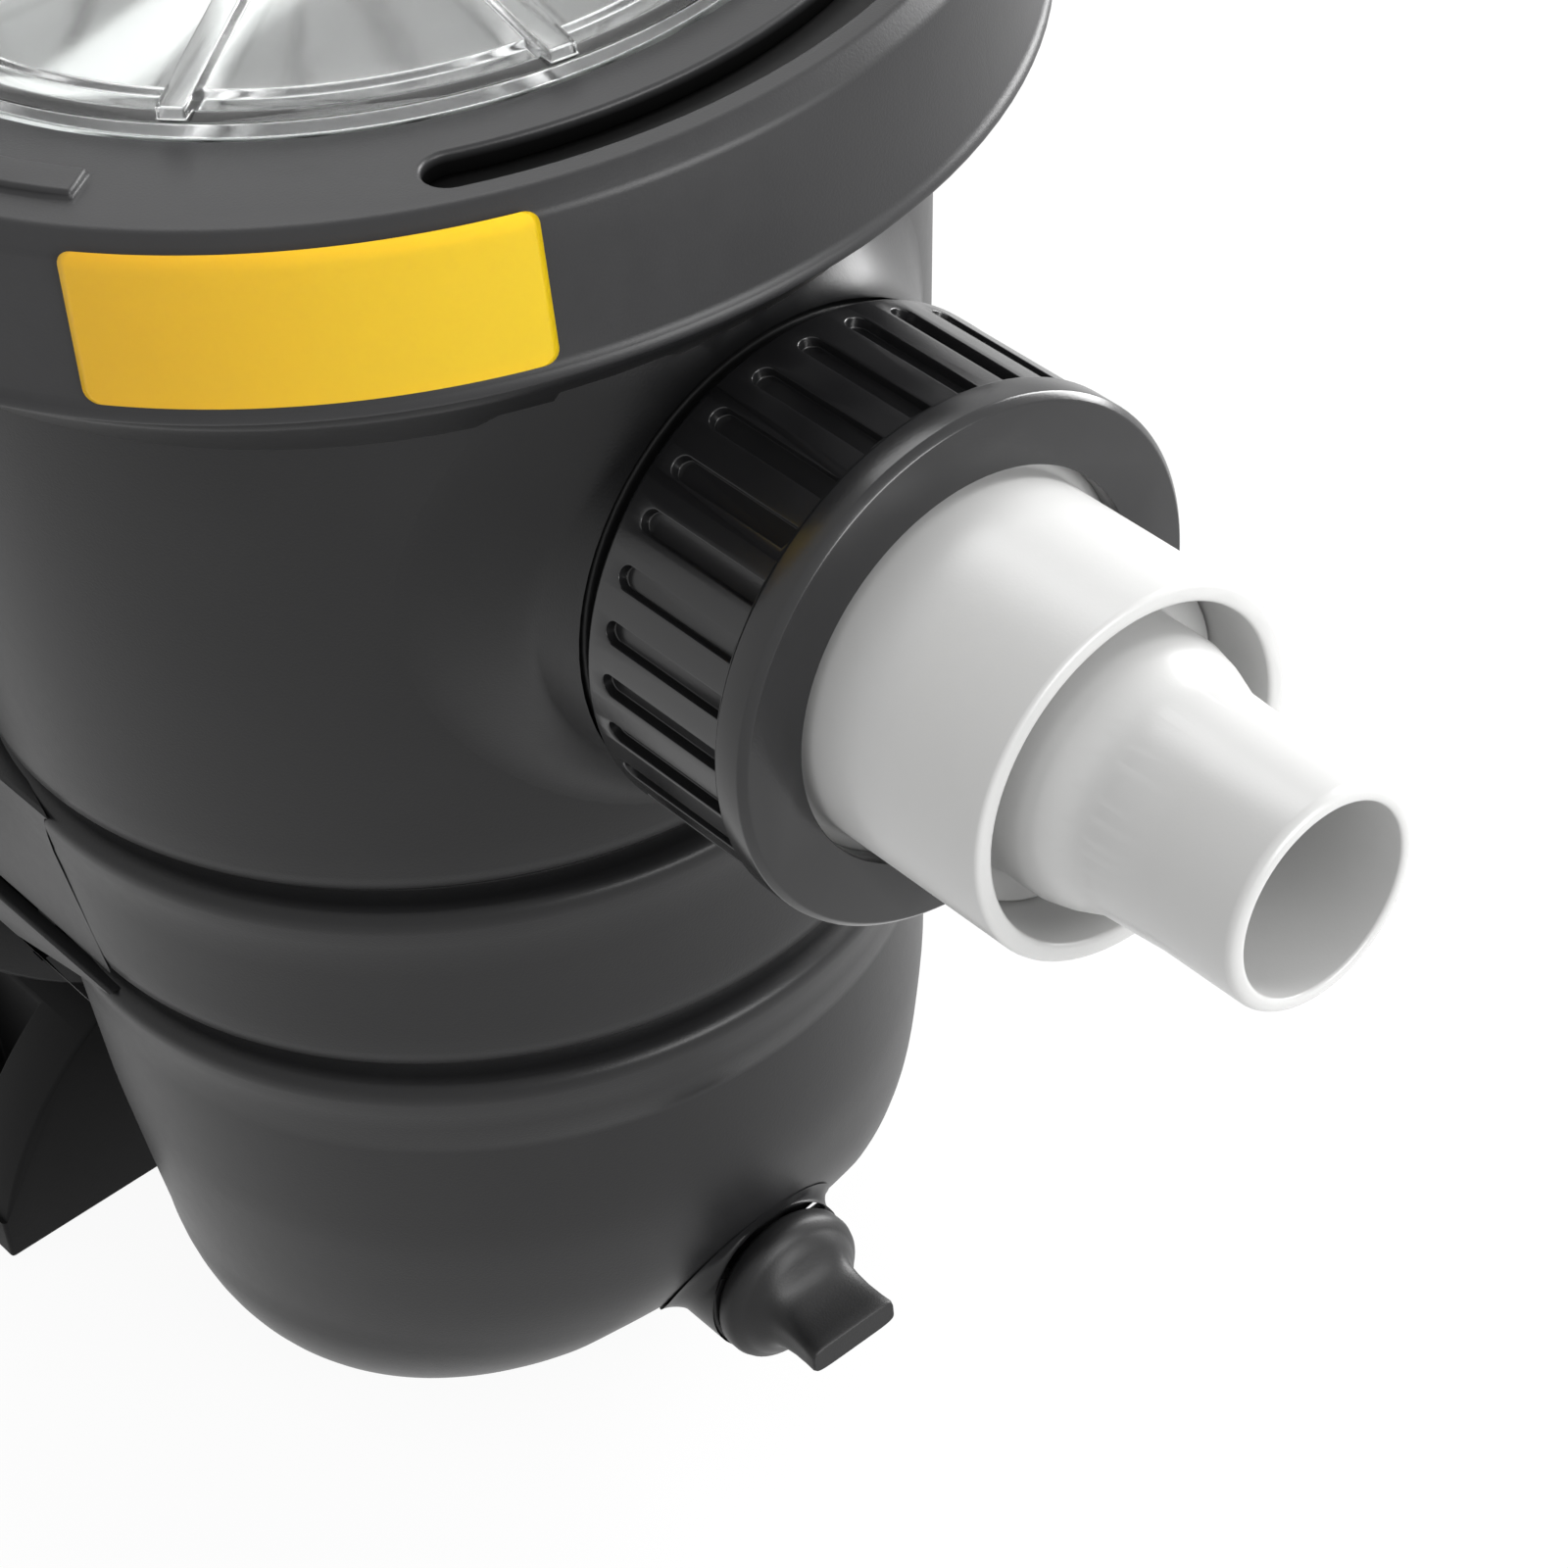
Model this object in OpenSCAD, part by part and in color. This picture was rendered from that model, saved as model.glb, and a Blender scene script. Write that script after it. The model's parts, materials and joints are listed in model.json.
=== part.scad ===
// Self-priming pool pump with a strainer pot in front, a pump chamber behind it and a finned motor.
// Frame: +X to the pump's left, +Y from the suction port towards the motor, +Z up.
// The origin is on the floor, at the middle of the foot's bolt pattern.

/* [Layout] */
// Height of the suction axis above the floor
suction_h = 205; // [202:1:212]
// Height of the motor shaft above the floor
shaft_h = 118; // [116:1:122]
// From the foot centre forward to the strainer pot axis
pot_fwd = 138; // [136:1:142]
// From the foot centre back to the discharge axis
port_back = 14; // [12:1:20]

/* [Strainer pot] */
// Pot radius at the height of the suction axis
pot_r = 80.5; // [79:0.5:82]
// Narrowing of the pot for each millimetre down
pot_draft = 0.07; // [0.06:0.01:0.08]
// Wall of the pot
pot_wall = 4.5; // [4:0.5:5]
// Gap between the pot and the floor
pot_clear = 6; // [5:1:9]
// Fillet where the pot's sides turn into its floor
pot_fillet = 36; // [30:1:38]
// How far the belly's flat floor reaches out towards its corners
belly_flat = 28; // [26:1:30]
// How far the belly's corners are drawn in from the pot's wall
belly_tuck = 1.8; // [1.4:0.2:2.2]
// Height of each moulded groove round the pot
groove_h = 3.6; // [3:0.2:4.4]
// Depth of each moulded groove
groove_depth = 1.6; // [1:0.2:2]
// Depth of the upper groove below the suction axis
groove_1_drop = 54; // [50:1:58]
// Depth of the lower groove below the suction axis
groove_2_drop = 93; // [90:1:96]
// Radius of the arch behind the pot
arch_r = 34; // [30:1:36]
// Radius of the screwed neck at the top of the pot
neck_r = 94.6; // [93.6:0.2:95.6]
// Bore of the neck above the basket ledge
neck_bore_r = 80.2; // [79.6:0.2:81]
// Height of the neck's rim above the suction axis
rim_up = 66.5; // [65:0.5:68]
// Height of the basket ledge above the suction axis
ledge_up = 54; // [52:1:56]

/* [Lock ring] */
// Thickness of the ring's wall
ring_wall = 4.8; // [4.2:0.2:6]
// Gap between the ring's wall and the neck inside it
ring_gap = 0.8; // [0.6:0.1:1]
// Inward lean of the ring's wall over its height
ring_lean = 1.2; // [0.6:0.2:1.6]
// Height of the ring
ring_h = 27; // [26:0.5:29]
// Thickness of the ring's top
ring_top_t = 4; // [3.6:0.2:4.4]
// Radius of the hole in the ring's top
ring_hole_r = 75.9; // [75.5:0.1:76.4]
// How far the lip at the foot of the ring stands out
ring_lip = 0.8; // [0.4:0.2:1.2]
// Number of arc slots in the ring's top
slot_count = 3; // [2:1:4]
// Inner radius of the arc slots
slot_r_in = 84.5; // [83:0.5:86]
// Width of the arc slots
slot_w = 8; // [6:0.5:9]
// Angle that each arc slot covers
slot_arc = 57; // [40:1:60]
// Height of the raised arrow
arrow_h = 1.4; // [0.8:0.2:2]
// Width of the arrow's bar
arrow_w = 5.8; // [4:0.2:7]
// Angle that the sticker covers
label_arc = 35.4; // [30:0.2:40]
// Thickness of the sticker
label_t = 0.3; // [0.2:0.1:0.5]

/* [Lid] */
// Radius of the lid's raised window
lid_r = 75.3; // [74.8:0.1:75.5]
// Radius of the lid's flange
lid_flange_r = 91.3; // [90:0.1:92.5]
// Thickness of the lid's flange
lid_flange_t = 3.9; // [3.4:0.1:4.4]
// Height of the window's top above the lock ring's top
lid_up = 2; // [1:0.5:3]
// Thickness of the window
lid_t = 5; // [4:0.5:6]
// Number of ribs on the window
lid_ribs = 9; // [6:1:12]
// Width of each rib
lid_rib_w = 4; // [3:0.5:5]
// Height of each rib
lid_rib_h = 2; // [1:0.5:3]

/* [Strainer basket] */
// Wall of the basket
basket_wall = 2.2; // [1.8:0.2:2.6]
// Radius of the basket's floor
basket_floor_r = 57; // [54:0.5:59]
// Height of the basket's floor above the ground
basket_floor_h = 58; // [52:1:64]
// Number of slots round the basket
basket_cols = 24; // [18:1:28]
// Rows of slots
basket_rows = 5; // [3:1:6]
// Width of each slot
basket_slot_w = 5; // [3:0.5:7]

/* [Port unions] */
// Radius of the boss that carries a port
boss_r = 37.5; // [36.5:0.5:38.5]
// From the pot axis out to the face of the suction boss
boss_out = 91.5; // [91:0.5:94]
// Radius of the screwed spigot
spigot_r = 33; // [32:0.5:33.5]
// Bore of the ports
port_bore_r = 24; // [22:0.5:24.5]
// Length of the spigot
spigot_l = 29; // [28:0.5:31]
// Outer radius of the union nut's grip
nut_r = 39.5; // [38.6:0.1:40]
// Radius of the flange at the open end of the nut
nut_flange_r = 40.2; // [40.1:0.1:41]
// Thickness of the nut's end wall
nut_end_t = 3.8; // [3.4:0.2:4.4]
// Hole in the nut's end wall
nut_hole_r = 29.9; // [29.4:0.1:30.4]
// Number of grip slots round the nut
nut_slots = 30; // [20:1:32]
// Width of each grip slot
nut_slot_w = 3.4; // [2.6:0.2:3.8]
// Depth of each grip slot
nut_slot_depth = 1.7; // [1:0.1:2]
// Outer radius of the white union tail
tail_r = 27.9; // [27.5:0.1:28.4]
// Bore of the tail's pipe socket
socket_r = 25.0; // [24.6:0.1:25.2]
// Length of the tail beyond the nut
tail_l = 35.5; // [33:0.5:38]
// Depth of the pipe socket
socket_depth = 26; // [24:0.5:28]
// Radius of the hose adapter's collar
collar_r = 20; // [19:0.5:21]
// Radius of the hose tail at its open end
hose_r = 16.5; // [16:0.1:17]
// Wall of the hose adapter
hose_wall = 2.4; // [2:0.2:2.8]
// Length of the hose adapter beyond the socket
hose_l = 34.2; // [32:0.2:40]

/* [Drain plugs] */
// Radius of the drain bosses
drain_r = 14; // [13:0.5:15]
// Height of the pot's drain above the floor
drain_h = 36.2; // [35:0.2:39]
// From the pot axis out to the face of the pot's drain boss
drain_out = 66.5; // [65:0.5:68]
// From the shaft down to the chamber's drain
side_drain_drop = 52; // [48:1:56]
// From the middle of the pump out to the face of the chamber's drain boss
side_drain_out = 80; // [78:1:84]
// Thickness of the plug's flange
plug_flange_t = 6.5; // [5:0.5:7.5]
// Length of the plug's wing
wing_l = 13; // [10:0.5:15]
// Width of the plug's wing
wing_w = 17.4; // [15:0.2:19]
// Thickness of the plug's wing
wing_t = 6; // [4:0.5:7]
// Radius of the plug's shank
shank_r = 8; // [7:0.5:9]

/* [Pump chamber] */
// Outer radius of the chamber
chamber_r = 86; // [85:0.5:88]
// Wall of the chamber
chamber_wall = 5; // [4.5:0.5:6]
// From the foot centre forward to the chamber's front face
chamber_fwd = 72; // [71:0.5:74]
// From the foot centre back to the chamber's open back
chamber_back = 52; // [52:1:58]
// How far the bolted flange stands out from the chamber
flange_out = 12; // [11:0.5:14]
// Thickness of the bolted flange
flange_t = 8; // [7:0.5:9]
// Number of chamber bolts
case_bolts = 8; // [6:1:10]
// Radius of a chamber bolt's shank
case_bolt_r = 3; // [2.5:0.5:3]

/* [Impeller] */
// Outer radius of the impeller
impeller_r = 55; // [52:1:58]
// Radius of the impeller's eye
eye_r = 20; // [18:0.5:21]
// Number of impeller vanes
vanes = 7; // [5:1:8]
// Width of the vane passage
vane_w = 10; // [8:0.5:11]
// Running gap round the impeller
run_gap = 1; // [0.6:0.1:1.4]

/* [Motor] */
// Outer radius of the motor tube
motor_r = 68; // [67:0.5:69]
// Height of the cooling fins
fin_h = 4; // [3:0.5:5]
// Number of cooling fins
fins = 36; // [28:4:44]
// Length of the motor tube
motor_l = 145; // [140:1:150]
// Wall of the motor tube
motor_wall = 6; // [5:0.5:7]
// Radius of the shaft in its bearings
shaft_r = 8.5; // [8:0.25:8.5]
// Radius of the rotor core
rotor_r = 36; // [34:0.5:37]
// Length of the rotor and stator cores
core_l = 80; // [70:1:84]
// Air gap between rotor and stator
air_gap = 0.5; // [0.4:0.1:0.7]
// Outer radius of a bearing
bearing_r = 20; // [19:0.5:21]
// Width of a bearing
bearing_w = 12; // [11:0.5:13]
// Number of fan blades
fan_blades = 7; // [5:1:9]
// Length of the fan cover
cover_l = 40; // [38:1:46]
// Wall of the fan cover
cover_wall = 1.6; // [1.4:0.2:2.4]

/* [Terminal box] */
// Width of the terminal box
box_w = 84; // [80:1:90]
// Length of the terminal box
box_l = 80; // [78:1:88]
// Height of the terminal box without its lid
box_h = 36; // [35:1:40]
// Wall of the terminal box
box_wall = 2.5; // [2:0.5:3]
// Height of the terminal box lid
box_lid_h = 10; // [8:1:14]

/* [Feet] */
// Width of the pump foot
foot_w = 156; // [152:1:160]
// Length of the pump foot
foot_l = 150.4; // [150:0.2:152]
// Thickness of the foot's base flange
foot_t = 9; // [8:0.5:10]
// Radius of the foot's domed sides
foot_dome_r = 66.7; // [65:0.1:68]
// Distance between the bolt slots across the pump
slot_dx = 130; // [128:1:134]
// Distance between the bolt slots along the pump
slot_dy = 100; // [96:1:104]
// Half width of a bolt slot
foot_slot_r = 4.5; // [4:0.5:5]
// Overall length of a bolt slot
foot_slot_l = 15; // [13:0.5:16]
// Width of the motor foot's base
motor_foot_w = 124; // [120:1:130]
// Length of the motor foot
motor_foot_l = 40; // [36:1:48]
// From the front of the motor tube back to the motor foot
motor_foot_back = 70; // [60:1:80]
// Distance between the motor foot's bolt holes
motor_hole_dx = 106; // [102:1:108]
// Radius of the motor foot's bolt holes
motor_hole_r = 3.5; // [3:0.25:4]
// Thickness of the rubber pads under the motor foot
pad_t = 4; // [3:0.5:5]

/* [Fits] */
// Clearance between parts that come apart
fit = 0.3; // [0.25:0.05:0.4]
// Clearance between parts that are fixed together
seat = 0.1; // [0.05:0.05:0.15]
// Radial clearance of a running fit
run = 0.05; // [0.03:0.01:0.08]

/* [Hidden] */
$fn = 96;

pot_y = -pot_fwd;
port_y = port_back;
eps = 0.01;
black = [0.12, 0.12, 0.13];
charcoal = [0.22, 0.22, 0.23];
pvc_white = [0.93, 0.93, 0.91];
steel = [0.62, 0.63, 0.65];
rubber_black = [0.06, 0.06, 0.06];

// Pot, neck, lid and ring heights
ring_r = neck_r + ring_gap + ring_wall;
rim_z = suction_h + rim_up;
ledge_z = suction_h + ledge_up;
neck_z = rim_z - 21.5;
lid_z = rim_z + 2.6;
ring_under_z = lid_z + lid_flange_t + fit;
ring_top_z = ring_under_z + ring_top_t;
ring_z = ring_top_z - ring_h;
window_z = ring_top_z + lid_up;
lid_cord = 2.2;
lid_oring_r = 86;
basket_flange_t = 3;

// The belly is a cylinder across the pump, a little wider than the tapered pot where they meet
belly_z = pot_clear + (pot_r + pot_draft * (pot_clear - suction_h)) / (1 - pot_draft);
belly_r = belly_z - pot_clear + 0.15;
groove_1_z = suction_h - groove_1_drop;
groove_2_z = suction_h - groove_2_drop;
skirt_z = groove_2_z - groove_h;
arch_z = skirt_z - arch_r - 12;
band_out = 1.2;

// Union stations, measured outwards from the boss face
tail_flange_w = spigot_l + fit;
tail_flange_t = 3;
nut_end_w = tail_flange_w + tail_flange_t + fit;
nut_l = nut_end_w + nut_end_t;
nut_start_w = 2.5;
tail_end_w = nut_end_w + tail_l;
socket_w = tail_end_w - socket_depth;
hose_end_w = tail_end_w + hose_l;
union_cord = 1.6;
union_oring_r = 28.5;
nut_bore_r = spigot_r + fit;
flange_w = 5.5;
flange_r = chamber_r + flange_out;
discharge_z = shaft_h + flange_r;

// Stations along the shaft
chamber_in_r = chamber_r - chamber_wall;
cavity_fwd = chamber_fwd - 18;
flange_y = chamber_back - flange_t;
plate_t = 8;
plate_y = chamber_back + seat;
plate_end_y = plate_y + plate_t;
plate_plug_t = 6;
bolt_ring_r = chamber_r + flange_out / 2 + 0.4;
impeller_end_y = chamber_back - 25;
impeller_y = impeller_end_y - vane_w - 5;
diffuser_y = impeller_y - run_gap - 4;
diffuser_r = impeller_r + 12;
passage_r = eye_r + 2;
passage_wall = 5;
hub_r = 11;
nose_r = 6;
nose_end_y = impeller_end_y;
seal_seat_y = plate_y - 2;
standoff_l = 12;
motor_flange_y = plate_end_y + standoff_l;
motor_flange_t = 18;
lug_r = 81;
tube_y = motor_flange_y + motor_flange_t;
tube_end_y = tube_y + motor_l;
tube_in_r = motor_r - motor_wall;
core_y = tube_y + (motor_l - core_l) / 2;
winding_l = 16;
bell_t = 20;
ear_t = 5;
rod_r = 2.4;
rod_ring_r = motor_r + 3.2;
rod_turns = [30, 150, 210, 330];
bell_end_y = tube_end_y + bell_t;
front_bearing_y = tube_y - bearing_w - 2;
rear_bearing_y = tube_end_y + 1;
fan_y = bell_end_y + 6;
fan_l = 18;
fan_r = motor_r - 10;
cover_end_y = bell_end_y + cover_l;
shaft_end_y = fan_y + fan_l + 3;
fin_tip_r = motor_r + fin_h;

// Terminal box
box_z = shaft_h + fin_tip_r - 3;
box_y = tube_y + 18;
box_top_z = box_z + box_h;
gasket_t = 1.5;
box_lid_z = box_top_z + gasket_t;
box_screw_inset = 7;

function pot_rad(z) = pot_r + pot_draft * (z - suction_h);

module along_y(y) {
    translate([0, y, shaft_h]) rotate([-90, 0, 0]) children();
}

module at_pot(z) {
    translate([0, pot_y, z]) children();
}

module at_suction(w) {
    translate([0, pot_y - boss_out - w, suction_h]) rotate([90, 0, 0]) children();
}

module at_discharge(w) {
    translate([0, port_y, discharge_z + w]) children();
}

module tube(r_out, r_in, h) {
    difference() {
        cylinder(r = r_out, h = h);
        translate([0, 0, -1]) cylinder(r = r_in, h = h + 2);
    }
}

module cord_ring(ring, cord) {
    rotate_extrude() translate([ring, 0]) circle(r = cord, $fn = 24);
}

module round_slot(length, r, h) {
    for (s = [-1, 1]) translate([s * (length / 2 - r), 0, 0]) cylinder(r = r, h = h, $fn = 32);
    translate([-length / 2 + r, -r, 0]) cube([length - 2 * r, 2 * r, h]);
}

module hex_bolt(r, shank, head_t, nut_t) {
    translate([0, 0, -head_t]) cylinder(r = 1.8 * r, h = head_t, $fn = 6);
    translate([0, 0, -eps]) cylinder(r = r, h = shank + nut_t + 2, $fn = 24);
    translate([0, 0, shank]) cylinder(r = 1.8 * r, h = nut_t, $fn = 6);
}

// ---- strainer pot and chamber ----

// Half outline of the pot: tapered wall with a filleted floor, shrunk by inset
module pot_outline(inset, floor_z, top_z) {
    f = pot_fillet - inset;
    corner_r = pot_rad(pot_clear + pot_fillet) - inset;
    difference() {
        polygon([[0, floor_z], [corner_r, floor_z], [corner_r, pot_clear + pot_fillet],
            [pot_rad(top_z) - inset, top_z], [0, top_z]]);
        difference() {
            translate([corner_r - f, floor_z - 1]) square([f + 1, f + 1]);
            translate([corner_r - f, floor_z + f]) circle(r = f);
        }
    }
}

// Block that trims the pot to its round belly, seen from the side
module belly_trim(r) {
    translate([-150, pot_y, belly_z]) rotate([0, 90, 0]) cylinder(r = r, h = 300);
    translate([-150, pot_y - 150, belly_z]) cube([300, 300, 300]);
}

// Block that draws in the belly's corners, seen along one of the belly's turns
module belly_corner(turn, inset) {
    flat = belly_flat * sin(abs(turn));
    side = pot_rad(pot_clear + 60) - belly_tuck - inset;
    r = side - flat;
    z = pot_clear + inset - 0.2 + r;
    translate([0, pot_y, 0]) rotate([0, 0, turn]) rotate([90, 0, 90]) translate([0, 0, -150])
        linear_extrude(height = 300) difference() {
            polygon([[-side, z - r], [side, z - r], [side, z], [side + 50, z + 250],
                [-side - 50, z + 250], [-side, z]]);
            for (m = [0, 1]) mirror([m, 0]) difference() {
                translate([flat, z - r - 1]) square([r + 1, r + 1]);
                translate([flat, z]) circle(r = r);
            }
        }
}

module pot_outside() {
    intersection() {
        at_pot(0) rotate_extrude() union() {
            pot_outline(0, pot_clear, neck_z - 12);
            translate([0, neck_z - 12 - eps]) polygon([[0, 0], [pot_rad(neck_z - 12), 0],
                [neck_r, 12], [neck_r, rim_z - neck_z + 12 + eps], [0, rim_z - neck_z + 12 + eps]]);
            for (z = [groove_1_z, groove_2_z])
                translate([0, z - groove_h]) polygon([[0, 0], [pot_rad(z) + band_out, 0],
                    [pot_rad(z - 12), -12], [0, -12]]);
        }
        belly_trim(belly_r);
        belly_corner(-50, 0);
        belly_corner(-25, 0);
        belly_corner(25, 0);
        belly_corner(50, 0);
    }
}

module pot_grooves() {
    for (z = [groove_1_z, groove_2_z])
        at_pot(z - groove_h) difference() {
            cylinder(r = pot_r + 8, h = groove_h);
            translate([0, 0, -1]) cylinder(r = pot_rad(z) - groove_depth, h = groove_h + 2);
            translate([-100, 40, -1]) cube([200, 100, groove_h + 2]);
        }
}

module pot_inside() {
    intersection() {
        at_pot(0) rotate_extrude() pot_outline(pot_wall, pot_clear + pot_wall, ledge_z);
        belly_trim(belly_r - pot_wall);
        belly_corner(-50, pot_wall);
        belly_corner(-25, pot_wall);
        belly_corner(25, pot_wall);
        belly_corner(50, pot_wall);
    }
    at_pot(ledge_z - eps) cylinder(r = neck_bore_r, h = 60);
}

// Straight skirt that carries the pot's sides back to the chamber, with an arch under it
module skirt() {
    top_z = groove_1_z - groove_h;
    half = [[pot_rad(arch_z), arch_z], [pot_rad(skirt_z - 12), skirt_z - 12],
        [pot_rad(groove_2_z) + band_out, skirt_z], [pot_rad(groove_2_z) - groove_depth, skirt_z],
        [pot_rad(groove_2_z) - groove_depth, groove_2_z], [pot_rad(groove_2_z), groove_2_z],
        [pot_rad(top_z - 12), top_z - 12], [pot_rad(groove_1_z) + band_out, top_z]];
    difference() {
        translate([0, pot_y + chamber_wall - chamber_fwd + pot_fwd, 0]) rotate([90, 0, 0])
            linear_extrude(height = pot_fwd - chamber_fwd + chamber_wall)
                polygon(concat(half, [for (i = [len(half) - 1 : -1 : 0]) [-half[i][0], half[i][1]]]));
        translate([-150, pot_y + arch_r + 0.5, arch_z]) rotate([0, 90, 0]) cylinder(r = arch_r, h = 300);
        translate([-150, pot_y + arch_r + 0.5, arch_z - 1]) cube([300, 100, arch_r + 1]);
        translate([-150, pot_y + 0.5, arch_z - 20]) cube([300, 100, 20]);
    }
}

module boss(base_w) {
    flare_r = boss_r + 9;
    rotate_extrude() polygon([[0, -base_w], [flare_r, -base_w], [flare_r, -14], [boss_r, -4],
        [boss_r, 0], [spigot_r, 0], [spigot_r, spigot_l], [0, spigot_l]]);
}

module port_cut(depth) {
    translate([0, 0, -depth]) cylinder(r = port_bore_r, h = depth + spigot_l + 1);
    translate([0, 0, spigot_l - union_cord]) tube(union_oring_r + union_cord + seat,
        union_oring_r - union_cord - seat, union_cord + 1);
}

module drain_bore(depth) {
    translate([0, 0, -depth]) cylinder(r = shank_r + fit, h = depth + 1, $fn = 48);
}

module at_pot_drain(w) {
    translate([0, pot_y - drain_out - w, drain_h]) rotate([90, 0, 0]) children();
}

module at_chamber_drain(w) {
    translate([side_drain_out + w, -10, shaft_h - side_drain_drop]) rotate([0, 90, 0]) children();
}

module rod_ring() {
    for (t = rod_turns) rotate([0, 0, t]) translate([rod_ring_r, 0, 0]) children();
}

module case_bolt_ring() {
    for (i = [0 : case_bolts - 1])
        rotate([0, 0, (i + 0.5) * 360 / case_bolts]) translate([bolt_ring_r, 0, 0]) children();
}

module pump_casing() {
    color(charcoal) difference() {
        union() {
            difference() {
                pot_outside();
                pot_grooves();
            }
            skirt();
            along_y(-chamber_fwd) cylinder(r = chamber_r, h = chamber_fwd + chamber_back);
            along_y(flange_y) cylinder(r = flange_r, h = flange_t);
            at_suction(0) boss(30);
            intersection() {
                at_discharge(0) boss(35);
                translate([-100, port_y - 100, shaft_h]) cube([200, 100 + chamber_back - port_y, 300]);
            }
            at_pot_drain(0) translate([0, 0, -26]) cylinder(r = drain_r, h = 26, $fn = 48);
            at_chamber_drain(0) translate([0, 0, -24]) cylinder(r = drain_r, h = 24, $fn = 48);
        }
        pot_inside();
        along_y(-cavity_fwd) cylinder(r = chamber_in_r, h = cavity_fwd + chamber_back + 1);
        along_y(-pot_fwd + 50) cylinder(r = passage_r, h = pot_fwd);
        at_suction(0) port_cut(40);
        at_discharge(0) port_cut(40);
        at_pot_drain(0) drain_bore(28);
        at_chamber_drain(0) drain_bore(30);
        at_pot(rim_z - lid_cord) tube(lid_oring_r + lid_cord + seat, lid_oring_r - lid_cord - seat, 10);
        along_y(flange_y) case_bolt_ring() {
            translate([0, 0, -1]) cylinder(r = case_bolt_r + fit, h = flange_t + 2, $fn = 32);
            translate([0, 0, -20]) cylinder(r = 2 * case_bolt_r + 0.2, h = 20, $fn = 32);
        }
        for (x = [-1, 1], y = [-1, 1]) translate([x * 26, y * 34, 0])
            cylinder(r = 2.2, h = shaft_h - chamber_r + 3, $fn = 24);
    }
    // Tube that leads the water from the pot to the impeller's eye
    color(charcoal) along_y(-cavity_fwd - eps)
        tube(passage_r + passage_wall, passage_r, cavity_fwd + diffuser_y - seat);
}

// ---- foot ----

module foot_outline() {
    dome_x = foot_w / 2 - foot_dome_r + 3.5;
    intersection() {
        union() {
            for (s = [-1, 1]) translate([s * dome_x, 3.5 - 18.25]) circle(r = foot_dome_r);
            translate([-dome_x, 0]) square([2 * dome_x, foot_dome_r - 14.75]);
        }
        translate([-foot_w / 2, 0]) square([foot_w, 80]);
    }
    translate([-foot_w / 2, 0]) square([foot_w, foot_t]);
}

module pump_foot() {
    rib = 4;
    color(black) difference() {
        translate([0, foot_l / 2, 0]) rotate([90, 0, 0]) linear_extrude(height = foot_l)
            difference() {
                foot_outline();
                translate([0, shaft_h]) circle(r = chamber_r + seat);
            }
        // Room for the bolted flange behind the chamber
        along_y(flange_y - 1 - 10) cylinder(r = flange_r + 2, h = 80);
        // Cored cells under the foot
        for (i = [-1, 1], j = [-1, 0, 1])
            translate([i * 24 - 20, j * 46 - 21, -1]) cube([40, 42, 24 + 1]);
        // Bolt slots, each in a pocket
        for (i = [-1, 1], j = [-1, 1]) translate([i * slot_dx / 2, j * slot_dy / 2, 0]) {
            translate([0, 0, -1]) round_slot(foot_slot_l, foot_slot_r, foot_t + 2);
            translate([i * 14 - 25, -11, foot_t]) cube([50, 22, 60]);
        }
        for (x = [-1, 1], y = [-1, 1]) translate([x * 26, y * 34, -1])
            cylinder(r = 2.6, h = 60, $fn = 24);
    }
}

module foot_screws() {
    color(steel) for (x = [-1, 1], y = [-1, 1]) translate([x * 26, y * 34, 20]) {
        translate([0, 0, 0.5]) cylinder(r = 4.5, h = 2.8, $fn = 32);
        translate([0, 0, 3]) cylinder(r = 2, h = shaft_h - chamber_r - 20, $fn = 24);
    }
}

// ---- lid, ring and basket ----

module clear_lid() {
    inner_r = lid_r - 6.3;
    color([0.85, 0.9, 0.92, 0.4]) at_pot(0) {
        rotate_extrude() difference() {
            polygon([[0, window_z - lid_t], [inner_r, window_z - lid_t], [inner_r, lid_z],
                [lid_flange_r, lid_z], [lid_flange_r, lid_z + lid_flange_t],
                [lid_r, lid_z + lid_flange_t], [lid_r, window_z], [0, window_z]]);
            translate([lid_r - 8, window_z - 1.4]) square([4.5, 2]);
        }
        for (i = [0 : lid_ribs - 1]) rotate([0, 0, -141.5 + i * 360 / lid_ribs])
            translate([lid_r - 46, -lid_rib_w / 2, window_z - 1.4 - eps])
                cube([45.2, lid_rib_w, lid_rib_h + 1.4]);
    }
}

module lid_oring() {
    color(rubber_black) at_pot(rim_z + seat) rotate_extrude() translate([lid_oring_r, 0]) circle(r = lid_cord, $fn = 32);
}

module arc_slot(start) {
    mid = slot_r_in + slot_w / 2;
    end_turn = asin(slot_w / 2 / mid);
    rotate([0, 0, start + end_turn]) rotate_extrude(angle = slot_arc - 2 * end_turn)
        translate([slot_r_in, 0]) square([slot_w, 20]);
    for (a = [start + end_turn, start + slot_arc - end_turn])
        rotate([0, 0, a]) translate([mid, 0, 0]) cylinder(r = slot_w / 2, h = 20, $fn = 32);
}

module arrow(start, sweep) {
    mid = slot_r_in + slot_w / 2 - 0.6;
    translate([0, 0, ring_top_z - eps]) {
        rotate([0, 0, start - sweep]) rotate_extrude(angle = sweep)
            translate([mid - arrow_w / 2, 0]) square([arrow_w, arrow_h]);
        rotate([0, 0, start - sweep]) translate([mid, 0, 0]) linear_extrude(height = arrow_h)
            polygon([[-arrow_w, 0.6], [arrow_w, 0.6], [0, -9]]);
    }
}

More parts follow.
